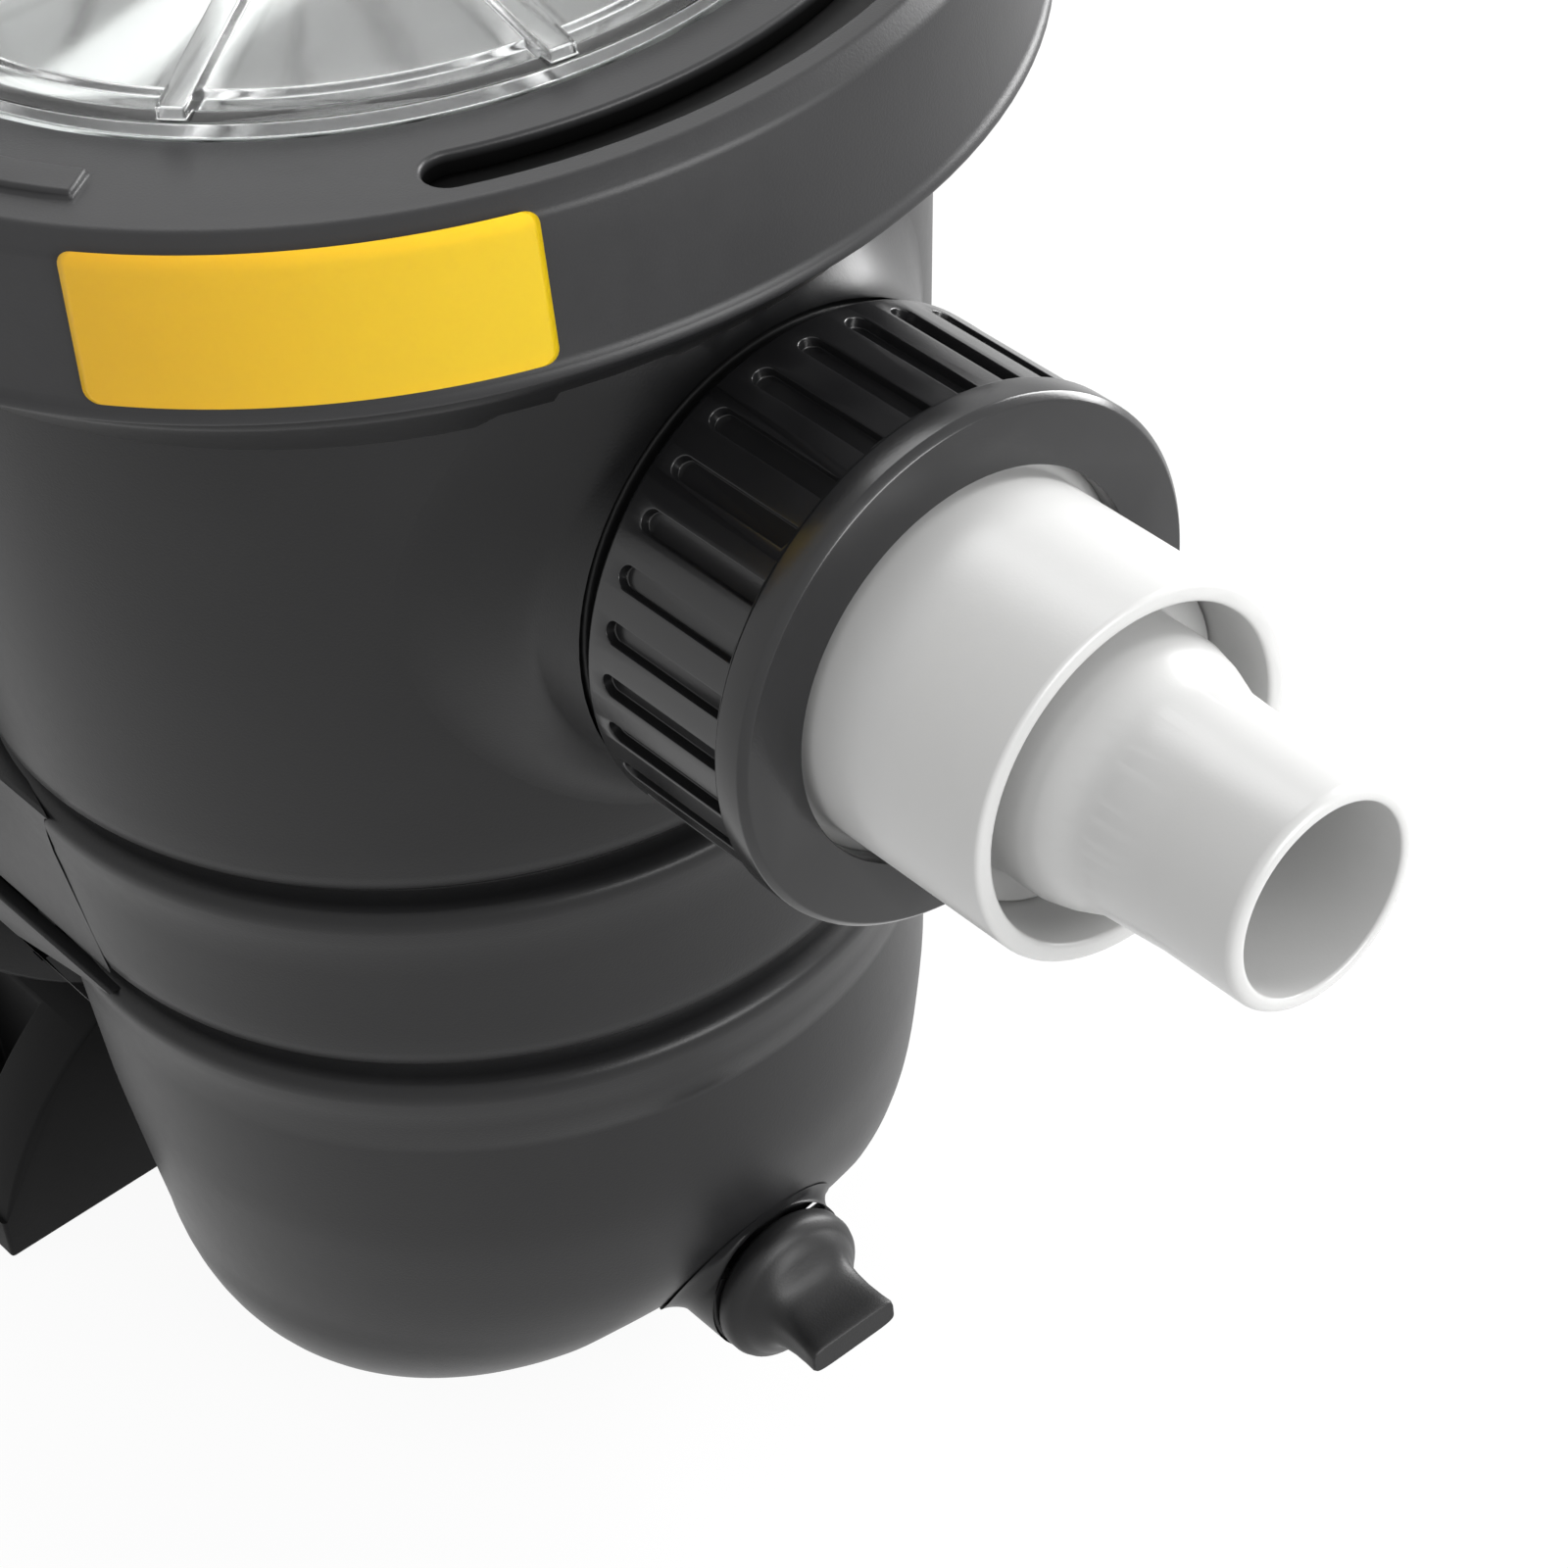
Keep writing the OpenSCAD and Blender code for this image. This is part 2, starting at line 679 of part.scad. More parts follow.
module lock_ring() {
    wall_in = neck_r + ring_gap;
    color(black) at_pot(0) difference() {
        union() {
            rotate_extrude() difference() {
                polygon([[wall_in, ring_z], [ring_r + ring_lip, ring_z], [ring_r + ring_lip, ring_z + 1.6],
                    [ring_r, ring_z + 2.4], [ring_r - ring_lean, ring_top_z - 1.2],
                    [ring_r - ring_lean - 1.2, ring_top_z], [ring_hole_r, ring_top_z],
                    [ring_hole_r, ring_under_z], [wall_in, ring_under_z]]);
            }
            arrow(-147, 24);
        }
        for (i = [0 : slot_count - 1])
            translate([0, 0, ring_under_z - 8]) arc_slot(-90 - slot_arc / 2 + i * 360 / slot_count);
    }
}

module ring_sticker() {
    low = ring_z + 2.6;
    high = ring_top_z - 1.4;
    lean = ring_lean / (ring_h - 3.6);
    r_low = ring_r - lean * (low - ring_z - 2.4);
    r_high = ring_r - lean * (high - ring_z - 2.4);
    color([0.98, 0.83, 0.1]) at_pot(0) rotate([0, 0, -146.3]) rotate_extrude(angle = label_arc)
        polygon([[r_low + 0.02, low], [r_low + label_t, low], [r_high + label_t, high], [r_high + 0.02, high]]);
}

module strainer_basket() {
    top_r = pot_rad(ledge_z) - pot_wall - 4.5;
    wall_l = ledge_z - basket_floor_h;
    row_h = (wall_l - 16) / basket_rows;
    function wall_at(z) = basket_floor_r + (top_r - basket_floor_r) * z / wall_l;
    color([0.86, 0.87, 0.85]) at_pot(basket_floor_h) {
        difference() {
            rotate_extrude() polygon([[0, 0], [basket_floor_r, 0], [top_r, wall_l + fit],
                [neck_bore_r - 0.6, wall_l + fit], [neck_bore_r - 0.6, wall_l + fit + basket_flange_t],
                [top_r - basket_wall, wall_l + fit + basket_flange_t], [basket_floor_r - basket_wall, basket_wall],
                [0, basket_wall]]);
            for (i = [0 : basket_cols - 1], j = [0 : basket_rows - 1])
                rotate([0, 0, (i + 0.5) * 360 / basket_cols])
                    translate([wall_at(8 + j * row_h) - 8, -basket_slot_w / 2, 8 + j * row_h])
                        cube([16, basket_slot_w, row_h - 6]);
            for (i = [1 : 4], j = [0 : 3 * i - 1]) rotate([0, 0, j * 120 / i])
                translate([i * 12, 0, -1]) cylinder(r = 3, h = basket_wall + 2, $fn = 24);
            translate([0, 0, suction_h - basket_floor_h]) rotate([90, 0, 0]) cylinder(r = port_bore_r, h = 100);
        }
        // Lifting bar across the rim
        translate([0, 0, wall_l + fit]) intersection() {
            translate([-100, -6, 0]) cube([200, 12, basket_flange_t]);
            cylinder(r = top_r - basket_wall + 0.5, h = 10);
        }
    }
}

// ---- port unions, drawn from the boss face outwards ----

module union_nut() {
    grip_w = nut_start_w + 4 + nut_slot_w / 2;
    rim_w = nut_l - flange_w;
    color(black) difference() {
        rotate_extrude() polygon([[nut_bore_r, nut_start_w], [nut_r - 1, nut_start_w], [nut_r, nut_start_w + 1],
            [nut_r, rim_w - 0.6], [nut_flange_r, rim_w], [nut_flange_r, nut_l - 1],
            [nut_flange_r - 1, nut_l], [nut_hole_r, nut_l], [nut_hole_r, nut_end_w], [nut_bore_r, nut_end_w]]);
        for (i = [0 : nut_slots - 1]) rotate([0, 0, (i + 0.5) * 360 / nut_slots]) {
            translate([nut_r - nut_slot_depth, -nut_slot_w / 2, grip_w])
                cube([5, nut_slot_w, rim_w - 1 - grip_w]);
            translate([nut_r - nut_slot_depth, 0, grip_w]) rotate([0, 90, 0])
                cylinder(r = nut_slot_w / 2, h = 5, $fn = 24);
        }
    }
}

module union_tail() {
    flange_out_r = nut_bore_r - 0.9;
    bore_r = port_bore_r - 3;
    color(pvc_white) rotate_extrude() polygon([[bore_r, tail_flange_w], [flange_out_r, tail_flange_w],
        [flange_out_r, tail_flange_w + tail_flange_t], [tail_r, tail_flange_w + tail_flange_t],
        [tail_r, tail_end_w], [socket_r, tail_end_w], [socket_r, socket_w], [bore_r, socket_w]]);
}

module union_oring() {
    color(rubber_black) translate([0, 0, spigot_l + seat]) intersection() {
        translate([0, 0, 0]) cord_ring(union_oring_r, union_cord);
        translate([0, 0, -5]) cylinder(r = 50, h = 5 + fit - 2 * seat);
    }
}

module hose_adapter() {
    shoulder_w = tail_end_w - 1.8;
    tube_w = shoulder_w + 8.5;
    straight_w = tube_w + 12;
    thread_w = socket_w + 1;
    root_r = hose_r + 0.8;
    bore_r = hose_r - hose_wall;
    color(pvc_white) rotate_extrude() polygon([[bore_r, thread_w], [socket_r - fit, thread_w],
        [socket_r - fit, thread_w + 14], [collar_r, thread_w + 14], [collar_r, shoulder_w],
        [collar_r - 0.8, shoulder_w + 3.5], [root_r, tube_w], [hose_r, straight_w],
        [hose_r, hose_end_w - 1], [hose_r - 0.8, hose_end_w], [bore_r, hose_end_w]]);
}

// ---- drain plugs ----

module drain_plug() {
    head_r = drain_r - 0.2;
    head_w = fit + plug_flange_t;
    groove_w = fit + 1.9;
    color(black) {
        rotate_extrude() polygon([[0, -20], [shank_r, -20], [shank_r, fit], [shank_r + 0.7, fit],
            [shank_r + 0.7, groove_w], [shank_r + 2.9, groove_w], [shank_r + 2.9, fit],
            [head_r, fit], [head_r, head_w - 3], [head_r - 3.2, head_w], [0, head_w]]);
        translate([-wing_w / 2, -wing_t / 2, head_w - 1]) cube([wing_w, wing_t, wing_l + 1]);
    }
}

module drain_oring() {
    color(rubber_black) translate([0, 0, fit + 0.8]) cord_ring(shank_r + 1.8, 0.9);
}

// ---- pump internals ----

module diffuser() {
    wall = 3;
    end_y = plate_y - plate_plug_t - fit;
    color(black) difference() {
        union() {
            along_y(diffuser_y) cylinder(r = diffuser_r, h = wall);
            along_y(diffuser_y) tube(diffuser_r, diffuser_r - wall, end_y - diffuser_y);
            for (i = [0 : 5]) along_y(diffuser_y + wall - eps) rotate([0, 0, i * 60])
                translate([impeller_r + run_gap + 2, -1.2, 0])
                    cube([diffuser_r - impeller_r - run_gap - 4, 2.4, end_y - diffuser_y - wall]);
        }
        along_y(diffuser_y - 1) cylinder(r = eye_r + 4, h = wall + 2);
        // Outlets for the water
        for (i = [0 : 5]) along_y(diffuser_y + wall + 5) rotate([0, 0, i * 60 + 30])
            translate([diffuser_r - 8, -9, 0]) cube([12, 18, 14]);
    }
}

module wear_ring() {
    color(pvc_white) along_y(diffuser_y) difference() {
        cylinder(r = eye_r + 4 - seat, h = 3);
        translate([0, 0, -1]) cylinder(r = eye_r + 1, h = 5);
    }
}

module vane(turn) {
    arc_r = impeller_r * 0.62;
    rotate([0, 0, turn]) intersection() {
        translate([arc_r * 0.98, 0, 0]) tube(arc_r + 1.2, arc_r - 1.2, vane_w + 1);
        translate([0, -impeller_r, -1]) cube([impeller_r * 2, impeller_r, vane_w + 3]);
        translate([0, 0, -1]) tube(impeller_r - 0.5, eye_r - 1, vane_w + 3);
    }
}

module impeller() {
    shroud_t = 2.4;
    back = shroud_t + vane_w;
    color([0.16, 0.16, 0.17]) along_y(impeller_y) {
        rotate_extrude() polygon([[eye_r - 2, -run_gap - 3], [eye_r, -run_gap - 3], [eye_r, 0],
            [impeller_r, 0], [impeller_r, shroud_t], [eye_r - 2, shroud_t]]);
        translate([0, 0, shroud_t - 0.5]) for (i = [0 : vanes - 1]) vane(i * 360 / vanes);
        rotate_extrude() polygon([[nose_r, 6], [hub_r, 6], [hub_r, back], [impeller_r, back],
            [impeller_r, back + 2.6], [nose_r, back + 2.6]]);
    }
}

module impeller_screw() {
    neck = nose_r - 2;
    color(steel) along_y(impeller_y) {
        cylinder(r = hub_r - 2, h = 3.9, $fn = 6);
        translate([0, 0, 3.5]) cylinder(r = hub_r - 1.2, h = 2.4);
        translate([0, 0, 5]) cylinder(r = neck, h = 5);
    }
}

module motor_shaft() {
    color(steel) along_y(0) difference() {
        union() {
            translate([0, 0, impeller_y + 7]) cylinder(r = nose_r, h = nose_end_y - impeller_y - 6);
            translate([0, 0, nose_end_y]) cylinder(r = shaft_r, h = shaft_end_y - nose_end_y);
        }
        translate([0, 0, impeller_y + 5]) cylinder(r = nose_r - 2, h = 5);
    }
}

module seal_head() {
    y = nose_end_y + 7;
    color([0.25, 0.25, 0.26]) along_y(y) tube(14, shaft_r, seal_seat_y - 6 - y - run);
}

module seal_spring() {
    color(steel) for (i = [0 : 2]) along_y(nose_end_y + 1.3 + i * 2.2) cord_ring(11, 1);
}

module seal_seat() {
    color([0.93, 0.92, 0.88]) along_y(seal_seat_y - 6) tube(15, shaft_r + 0.8, 6);
}

module seal_cup() {
    color(rubber_black) along_y(seal_seat_y - 5) difference() {
        cylinder(r = 18, h = 6.5);
        translate([0, 0, -1]) cylinder(r = 15 + run, h = 6);
        cylinder(r = shaft_r + 1.5, h = 10);
    }
}

module seal_plate() {
    color(charcoal) difference() {
        union() {
            along_y(plate_y) cylinder(r = flange_r, h = plate_t);
            along_y(plate_y - plate_plug_t) cylinder(r = chamber_in_r - fit, h = plate_plug_t + eps);
            for (i = [0 : 3]) along_y(plate_end_y - eps) rotate([0, 0, 45 + i * 90])
                translate([lug_r, 0, 0]) cylinder(r = 9, h = standoff_l + eps - seat);
        }
        along_y(plate_y - plate_plug_t - 1) cylinder(r = 18 + seat, h = plate_plug_t + 1 + 4);
        along_y(0) cylinder(r = shaft_r + 2, h = 120);
        along_y(plate_y - 4.4) tube(chamber_in_r + 1, chamber_in_r - 3, 3.4);
        along_y(plate_y) case_bolt_ring() translate([0, 0, -1])
            cylinder(r = case_bolt_r + fit, h = plate_t + 2, $fn = 32);
        for (i = [0 : 3]) along_y(plate_end_y) rotate([0, 0, 45 + i * 90])
            translate([lug_r, 0, -1]) cylinder(r = 3 + seat, h = 40, $fn = 32);
    }
}

module seal_plate_oring() {
    color(rubber_black) along_y(plate_y - 2.7) cord_ring(chamber_in_r - 1.6, 1.3);
}

module chamber_bolts() {
    color(steel) along_y(flange_y) case_bolt_ring() translate([0, 0, -seat])
        hex_bolt(case_bolt_r, flange_t + plate_t + 3 * seat, 3.6, 4);
}

module motor_flange() {
    color(charcoal) difference() {
        union() {
            along_y(motor_flange_y) cylinder(r = fin_tip_r, h = motor_flange_t);
            for (i = [0 : 3]) along_y(motor_flange_y) rotate([0, 0, 45 + i * 90]) {
                translate([lug_r, 0, 0]) cylinder(r = 9.5, h = 10);
                translate([50, -8, 0]) cube([lug_r - 50, 16, 9.5]);
            }
            along_y(motor_flange_y + 6) rod_ring() cylinder(r = 6, h = motor_flange_t - 7, $fn = 48);
        }
        along_y(tube_y - 10) rod_ring() cylinder(r = rod_r + seat, h = 20, $fn = 24);
        along_y(motor_flange_y - 1) cylinder(r = shaft_r + 3, h = 60);
        along_y(front_bearing_y) cylinder(r = bearing_r + run, h = 60);
        along_y(motor_flange_y + 7) difference() {
            cylinder(r = tube_in_r, h = 60);
            translate([0, 0, -1]) cylinder(r = bearing_r + 6, h = 62);
        }
        for (i = [0 : 3]) along_y(motor_flange_y) rotate([0, 0, 45 + i * 90])
            translate([lug_r, 0, -1]) cylinder(r = 3 + fit, h = 40, $fn = 32);
    }
}

module motor_bolts() {
    color(steel) for (i = [0 : 3]) along_y(motor_flange_y + 10 + seat) rotate([0, 0, 45 + i * 90])
        translate([lug_r, 0, 0]) {
            cylinder(r = 5.4, h = 4, $fn = 6);
            translate([0, 0, -22]) cylinder(r = 3, h = 22 + eps, $fn = 24);
        }
}

module water_slinger() {
    color(rubber_black) along_y(plate_end_y + 3) tube(16, shaft_r, 4);
}

module bearing(y) {
    color(steel) along_y(y) difference() {
        tube(bearing_r, shaft_r + run, bearing_w);
        for (z = [-1, bearing_w - 0.8]) translate([0, 0, z]) tube(bearing_r - 3, shaft_r + 3, 1.8);
    }
}

module preload_washer() {
    color(steel) along_y(rear_bearing_y + bearing_w + 0.2) tube(bearing_r - 1, bearing_r - 5, 0.8);
}

module stator_core() {
    color([0.45, 0.46, 0.48]) along_y(core_y) difference() {
        tube(tube_in_r - run, rotor_r + air_gap, core_l);
        for (i = [0 : 23]) rotate([0, 0, i * 15]) translate([rotor_r + air_gap + 3, -1.6, -1])
            cube([10, 3.2, core_l + 2]);
    }
}

module stator_windings() {
    color([0.72, 0.38, 0.16]) for (y = [core_y - winding_l, core_y + core_l])
        along_y(y) tube(rotor_r + 18, rotor_r + 5, winding_l);
}

module rotor_core() {
    color([0.5, 0.5, 0.52]) along_y(core_y - 1) tube(rotor_r, shaft_r, core_l + 2);
}

module motor_housing() {
    color(charcoal) along_y(tube_y) difference() {
        union() {
            cylinder(r = motor_r, h = motor_l);
            for (i = [0 : fins - 1]) if (min([for (t = rod_turns) abs(i * 360 / fins - t)]) > 4)
                rotate([0, 0, i * 360 / fins]) translate([motor_r - 1, -1, 2]) cube([fin_h + 0.8, 2, motor_l - 4]);
            tube(fin_tip_r, motor_r - 1, 4);
            translate([0, 0, motor_l - 4]) tube(fin_tip_r, motor_r - 1, 4);
        }
        translate([0, 0, -1]) cylinder(r = tube_in_r, h = motor_l + 2);
        translate([0, 0, -1]) rod_ring() cylinder(r = rod_r + fit, h = motor_l + 2, $fn = 24);
        // Flat for the terminal box, and its wire hole
        translate([-box_w / 2 - 1, -100, box_y - tube_y - 1]) cube([box_w + 2, 100 - fin_tip_r + 3, box_l + 2]);
        translate([0, 0, box_y - tube_y + box_l / 2]) rotate([90, 0, 0]) cylinder(r = 9, h = 100, $fn = 48);
    }
}

module rear_end_bell() {
    color(charcoal) along_y(tube_end_y) difference() {
        union() {
            cylinder(r = fin_tip_r, h = bell_t);
            rod_ring() cylinder(r = 6, h = ear_t, $fn = 48);
        }
        translate([0, 0, -1]) cylinder(r = bearing_r + run, h = bearing_w + 3.2);
        translate([0, 0, -1]) cylinder(r = shaft_r + 2, h = 60);
        translate([0, 0, -1]) difference() {
            cylinder(r = tube_in_r, h = 9);
            translate([0, 0, -1]) cylinder(r = bearing_r + 6, h = 12);
        }
        translate([0, 0, -1]) rod_ring() cylinder(r = rod_r + seat, h = 10, $fn = 24);
        translate([0, 0, ear_t - 1]) rod_ring() cylinder(r = 4.4, h = bell_t, $fn = 32);
        for (i = [0 : 3]) rotate([0, 0, i * 90]) translate([fin_tip_r - 9, 0, bell_t - 5]) rotate([0, 90, 0])
            cylinder(r = 1.6 + seat, h = 20, $fn = 24);
    }
}

module tie_rods() {
    color(steel) along_y(tube_y - 8) rod_ring() {
        cylinder(r = rod_r, h = motor_l + ear_t + 13, $fn = 24);
        translate([0, 0, motor_l + ear_t + 7 + seat]) cylinder(r = 4, h = 3.6, $fn = 6);
    }
}

module cooling_fan() {
    color(black) along_y(fan_y) {
        tube(14, shaft_r, fan_l + 1);
        tube(fan_r - 12, 12, 2);
        for (i = [0 : fan_blades - 1]) rotate([0, 0, i * 360 / fan_blades])
            translate([11, -1, 0.5]) cube([fan_r - 11, 2, fan_l - 0.5]);
    }
}

module fan_cover() {
    reach = bell_t - ear_t - 5;
    y0 = bell_end_y - reach;
    r_in = fin_tip_r + seat;
    color(black) along_y(y0) difference() {
        cylinder(r = r_in + cover_wall, h = reach + cover_l);
        translate([0, 0, -1]) cylinder(r = r_in, h = reach + cover_l - cover_wall + 1);
        for (k = [1 : 5]) for (i = [0 : 3]) rotate([0, 0, i * 90 + 8]) translate([0, 0, reach + cover_l - 5])
            rotate_extrude(angle = 74) translate([8 + k * 10, 0]) square([5, 10]);
        for (i = [0 : 3]) rotate([0, 0, i * 90]) translate([r_in - 2, 0, reach - 5]) rotate([0, 90, 0])
            cylinder(r = 1.6 + fit, h = 8, $fn = 24);
    }
}

module fan_cover_screws() {
    r_out = fin_tip_r + seat + cover_wall;
    color(steel) along_y(bell_end_y - 5) for (i = [0 : 3]) rotate([0, 0, i * 90])
        translate([r_out + seat, 0, 0]) rotate([0, 90, 0]) {
            translate([0, 0, -8]) cylinder(r = 1.6, h = 8 + eps, $fn = 24);
            cylinder(r = 3.2, h = 1.8, $fn = 24);
        }
}

// ---- terminal box ----

module at_box(z) {
    translate([0, box_y + box_l / 2, z]) children();
}

module box_corners() {
    for (x = [-1, 1], y = [-1, 1])
        translate([x * (box_w / 2 - box_screw_inset), y * (box_l / 2 - box_screw_inset), 0]) children();
}

module box_plan(inset) {
    translate([-box_w / 2 + inset, -box_l / 2 + inset]) square([box_w - 2 * inset, box_l - 2 * inset]);
}

module terminal_box() {
    color(black) at_box(box_z + seat) difference() {
        union() {
            difference() {
                linear_extrude(height = box_h - seat) box_plan(0);
                translate([0, 0, box_wall]) linear_extrude(height = box_h) box_plan(box_wall);
            }
            box_corners() cylinder(r = 5, h = box_h - seat, $fn = 32);
        }
        box_corners() translate([0, 0, box_h - 16]) cylinder(r = 1.7, h = 30, $fn = 24);
        translate([0, 0, -1]) cylinder(r = 9, h = 10, $fn = 48);
        translate([box_w / 2 - 10, 18, 17]) rotate([0, 90, 0]) cylinder(r = 8.2, h = 20, $fn = 48);
    }
}

module terminal_box_gasket() {
    color(rubber_black) at_box(box_top_z) difference() {
        linear_extrude(height = gasket_t) difference() {
            box_plan(0);
            box_plan(box_wall + 1);
        }
        box_corners() translate([0, 0, -1]) cylinder(r = 5.4, h = 10, $fn = 32);
    }
}

module terminal_box_lid() {
    color(black) at_box(box_lid_z) difference() {
        linear_extrude(height = box_lid_h) box_plan(0);
        translate([0, 0, -1]) linear_extrude(height = box_lid_h - 2) difference() {
            box_plan(box_wall);
            box_corners() circle(r = 5, $fn = 32);
        }
        box_corners() translate([0, 0, -1]) cylinder(r = 1.9, h = 40, $fn = 24);
        box_corners() translate([0, 0, box_lid_h - 3]) cylinder(r = 3.8, h = 10, $fn = 32);
    }
}

module terminal_box_screws() {
    color(steel) at_box(box_lid_z + box_lid_h - 3 + seat) box_corners() {
        cylinder(r = 3.4, h = 2.2, $fn = 32);
        translate([0, 0, -box_lid_h - 8]) cylinder(r = 1.6, h = box_lid_h + 8 + eps, $fn = 24);
    }
}

module run_capacitor() {
    color([0.88, 0.88, 0.86]) at_box(box_z + box_wall + 14 + 2 * seat) translate([-14, box_l / 2 - 8, 0])
        rotate([90, 0, 0]) cylinder(r = 14, h = box_l - 18);
}

module terminal_block() {
    color([0.9, 0.88, 0.8]) at_box(box_z + box_wall + 2 * seat) difference() {
        translate([13, -24, 0]) cube([14, 32, 12]);
        for (i = [0 : 2]) translate([20, -18.5 + i * 10, 5]) cylinder(r = 2.4, h = 20, $fn = 24);
    }
}

module cable_gland() {
    color(black) at_box(box_z + seat + 17) translate([box_w / 2 + seat, 18, 0]) rotate([0, 90, 0]) difference() {
        union() {
            translate([0, 0, -box_wall - 3]) cylinder(r = 8, h = box_wall + 4, $fn = 48);
            cylinder(r = 11, h = 6, $fn = 6);
            translate([0, 0, 6 - eps]) cylinder(r = 9.6, h = 12, $fn = 48);
            translate([0, 0, 18 - 2 * eps]) cylinder(r1 = 9.6, r2 = 7, h = 4, $fn = 48);
        }
        translate([0, 0, -20]) cylinder(r = 4.5, h = 60, $fn = 48);
    }
}

// ---- motor foot ----

module motor_foot() {
    column_w = motor_foot_w - 36;
    color(black) difference() {
        translate([0, tube_y + motor_foot_back, pad_t + seat]) union() {
            translate([-motor_foot_w / 2, 0, 0]) cube([motor_foot_w, motor_foot_l, 8]);
            translate([-column_w / 2, 0, 0]) cube([column_w, motor_foot_l, shaft_h - 50 - pad_t]);
        }
        along_y(tube_y + motor_foot_back - 10) cylinder(r = fin_tip_r + seat, h = motor_foot_l + 20);
        for (x = [-1, 1]) translate([x * (column_w / 4 + 2) - 15, tube_y + motor_foot_back + 4, -1])
            cube([30, motor_foot_l - 8, 30]);
        motor_holes() cylinder(r = motor_hole_r, h = 40, $fn = 32);
    }
}

module motor_holes() {
    for (x = [-1, 1]) translate([x * motor_hole_dx / 2, tube_y + motor_foot_back + motor_foot_l / 2, -1])
        children();
}

module motor_foot_pads() {
    pad_w = 18;
    color(rubber_black) difference() {
        motor_holes() translate([-pad_w / 2, -motor_foot_l / 2, 1]) cube([pad_w, motor_foot_l, pad_t]);
        motor_holes() cylinder(r = motor_hole_r, h = 20, $fn = 32);
    }
}

pump_casing();
pump_foot();
foot_screws();
strainer_basket();
clear_lid();
lid_oring();
lock_ring();
ring_sticker();
at_suction(0) union_nut();  // suction_nut
at_suction(0) union_tail();  // suction_tail
at_suction(0) union_oring();  // suction_oring
at_suction(0) hose_adapter();  // suction_hose_adapter
at_discharge(0) union_nut();  // discharge_nut
at_discharge(0) union_tail();  // discharge_tail
at_discharge(0) union_oring();  // discharge_oring
at_discharge(0) hose_adapter();  // discharge_hose_adapter
at_pot_drain(0) drain_plug();  // pot_drain_plug
at_pot_drain(0) drain_oring();  // pot_drain_oring
at_chamber_drain(0) drain_plug();  // chamber_drain_plug
at_chamber_drain(0) drain_oring();  // chamber_drain_oring
diffuser();
wear_ring();
impeller();
impeller_screw();
seal_head();
seal_spring();
seal_seat();
seal_cup();
seal_plate();
seal_plate_oring();
chamber_bolts();
motor_flange();
motor_bolts();
water_slinger();
motor_shaft();
bearing(front_bearing_y);  // front_bearing
bearing(rear_bearing_y);  // rear_bearing
preload_washer();
stator_core();
stator_windings();
rotor_core();
motor_housing();
rear_end_bell();
tie_rods();
cooling_fan();
fan_cover();
fan_cover_screws();
terminal_box();
terminal_box_gasket();
terminal_box_lid();
terminal_box_screws();
run_capacitor();
terminal_block();
cable_gland();
motor_foot();
motor_foot_pads();
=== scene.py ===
import json
import math

import bmesh
import bpy
from mathutils import Matrix, Vector

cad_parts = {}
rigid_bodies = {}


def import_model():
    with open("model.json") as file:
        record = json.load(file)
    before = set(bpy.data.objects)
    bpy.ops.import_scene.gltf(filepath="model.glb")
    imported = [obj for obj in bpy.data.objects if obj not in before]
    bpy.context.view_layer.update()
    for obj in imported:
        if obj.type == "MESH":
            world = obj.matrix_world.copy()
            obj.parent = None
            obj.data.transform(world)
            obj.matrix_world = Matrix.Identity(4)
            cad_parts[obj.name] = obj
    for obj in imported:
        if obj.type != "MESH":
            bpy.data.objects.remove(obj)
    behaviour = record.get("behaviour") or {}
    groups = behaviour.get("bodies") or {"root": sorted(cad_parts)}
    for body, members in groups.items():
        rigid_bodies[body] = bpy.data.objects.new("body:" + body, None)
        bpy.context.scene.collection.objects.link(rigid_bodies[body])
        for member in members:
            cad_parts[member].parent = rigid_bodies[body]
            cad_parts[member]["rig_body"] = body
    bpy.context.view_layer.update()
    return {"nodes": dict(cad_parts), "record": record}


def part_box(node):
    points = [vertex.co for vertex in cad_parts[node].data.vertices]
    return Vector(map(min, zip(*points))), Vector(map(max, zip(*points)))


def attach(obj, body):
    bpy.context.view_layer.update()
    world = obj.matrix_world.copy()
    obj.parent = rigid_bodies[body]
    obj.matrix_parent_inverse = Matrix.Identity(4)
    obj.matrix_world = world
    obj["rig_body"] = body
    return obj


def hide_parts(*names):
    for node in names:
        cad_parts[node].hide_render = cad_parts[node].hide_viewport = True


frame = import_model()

scene = bpy.context.scene
scene.view_settings.view_transform = "Standard"


# ---- Camera ----
# It stands in front of the suction port and above it, a little to the right,
# and looks down at the strainer pot with a long lens.

camera_turn = math.radians(-36.55)
camera_height = math.radians(41.17)
camera_roll = math.radians(-6.19)
camera_back = Vector((math.sin(camera_turn) * math.cos(camera_height),
                      -math.cos(camera_turn) * math.cos(camera_height),
                      math.sin(camera_height)))
camera_right = Vector((math.cos(camera_turn), math.sin(camera_turn), 0))
camera_up = camera_back.cross(camera_right)
camera_x = camera_right * math.cos(camera_roll) + camera_up * math.sin(camera_roll)
camera_y = camera_up * math.cos(camera_roll) - camera_right * math.sin(camera_roll)
camera_data = bpy.data.cameras.new("camera")
camera_data.sensor_width = 36
camera_data.lens = 101.7
camera_data.clip_start = 0.01
camera = bpy.data.objects.new("camera", camera_data)
camera.matrix_world = Matrix.Translation((-0.2933, -0.6168, 0.5872)) @ Matrix(
    (camera_x, camera_y, camera_back)).transposed().to_4x4()
scene.collection.objects.link(camera)
scene.camera = camera


# ---- Studio ----
# A wide white table with no edge in view, under soft lamps in a pale room.
# To the eye, in glass and in glossy surfaces, the table and the room are plain white.

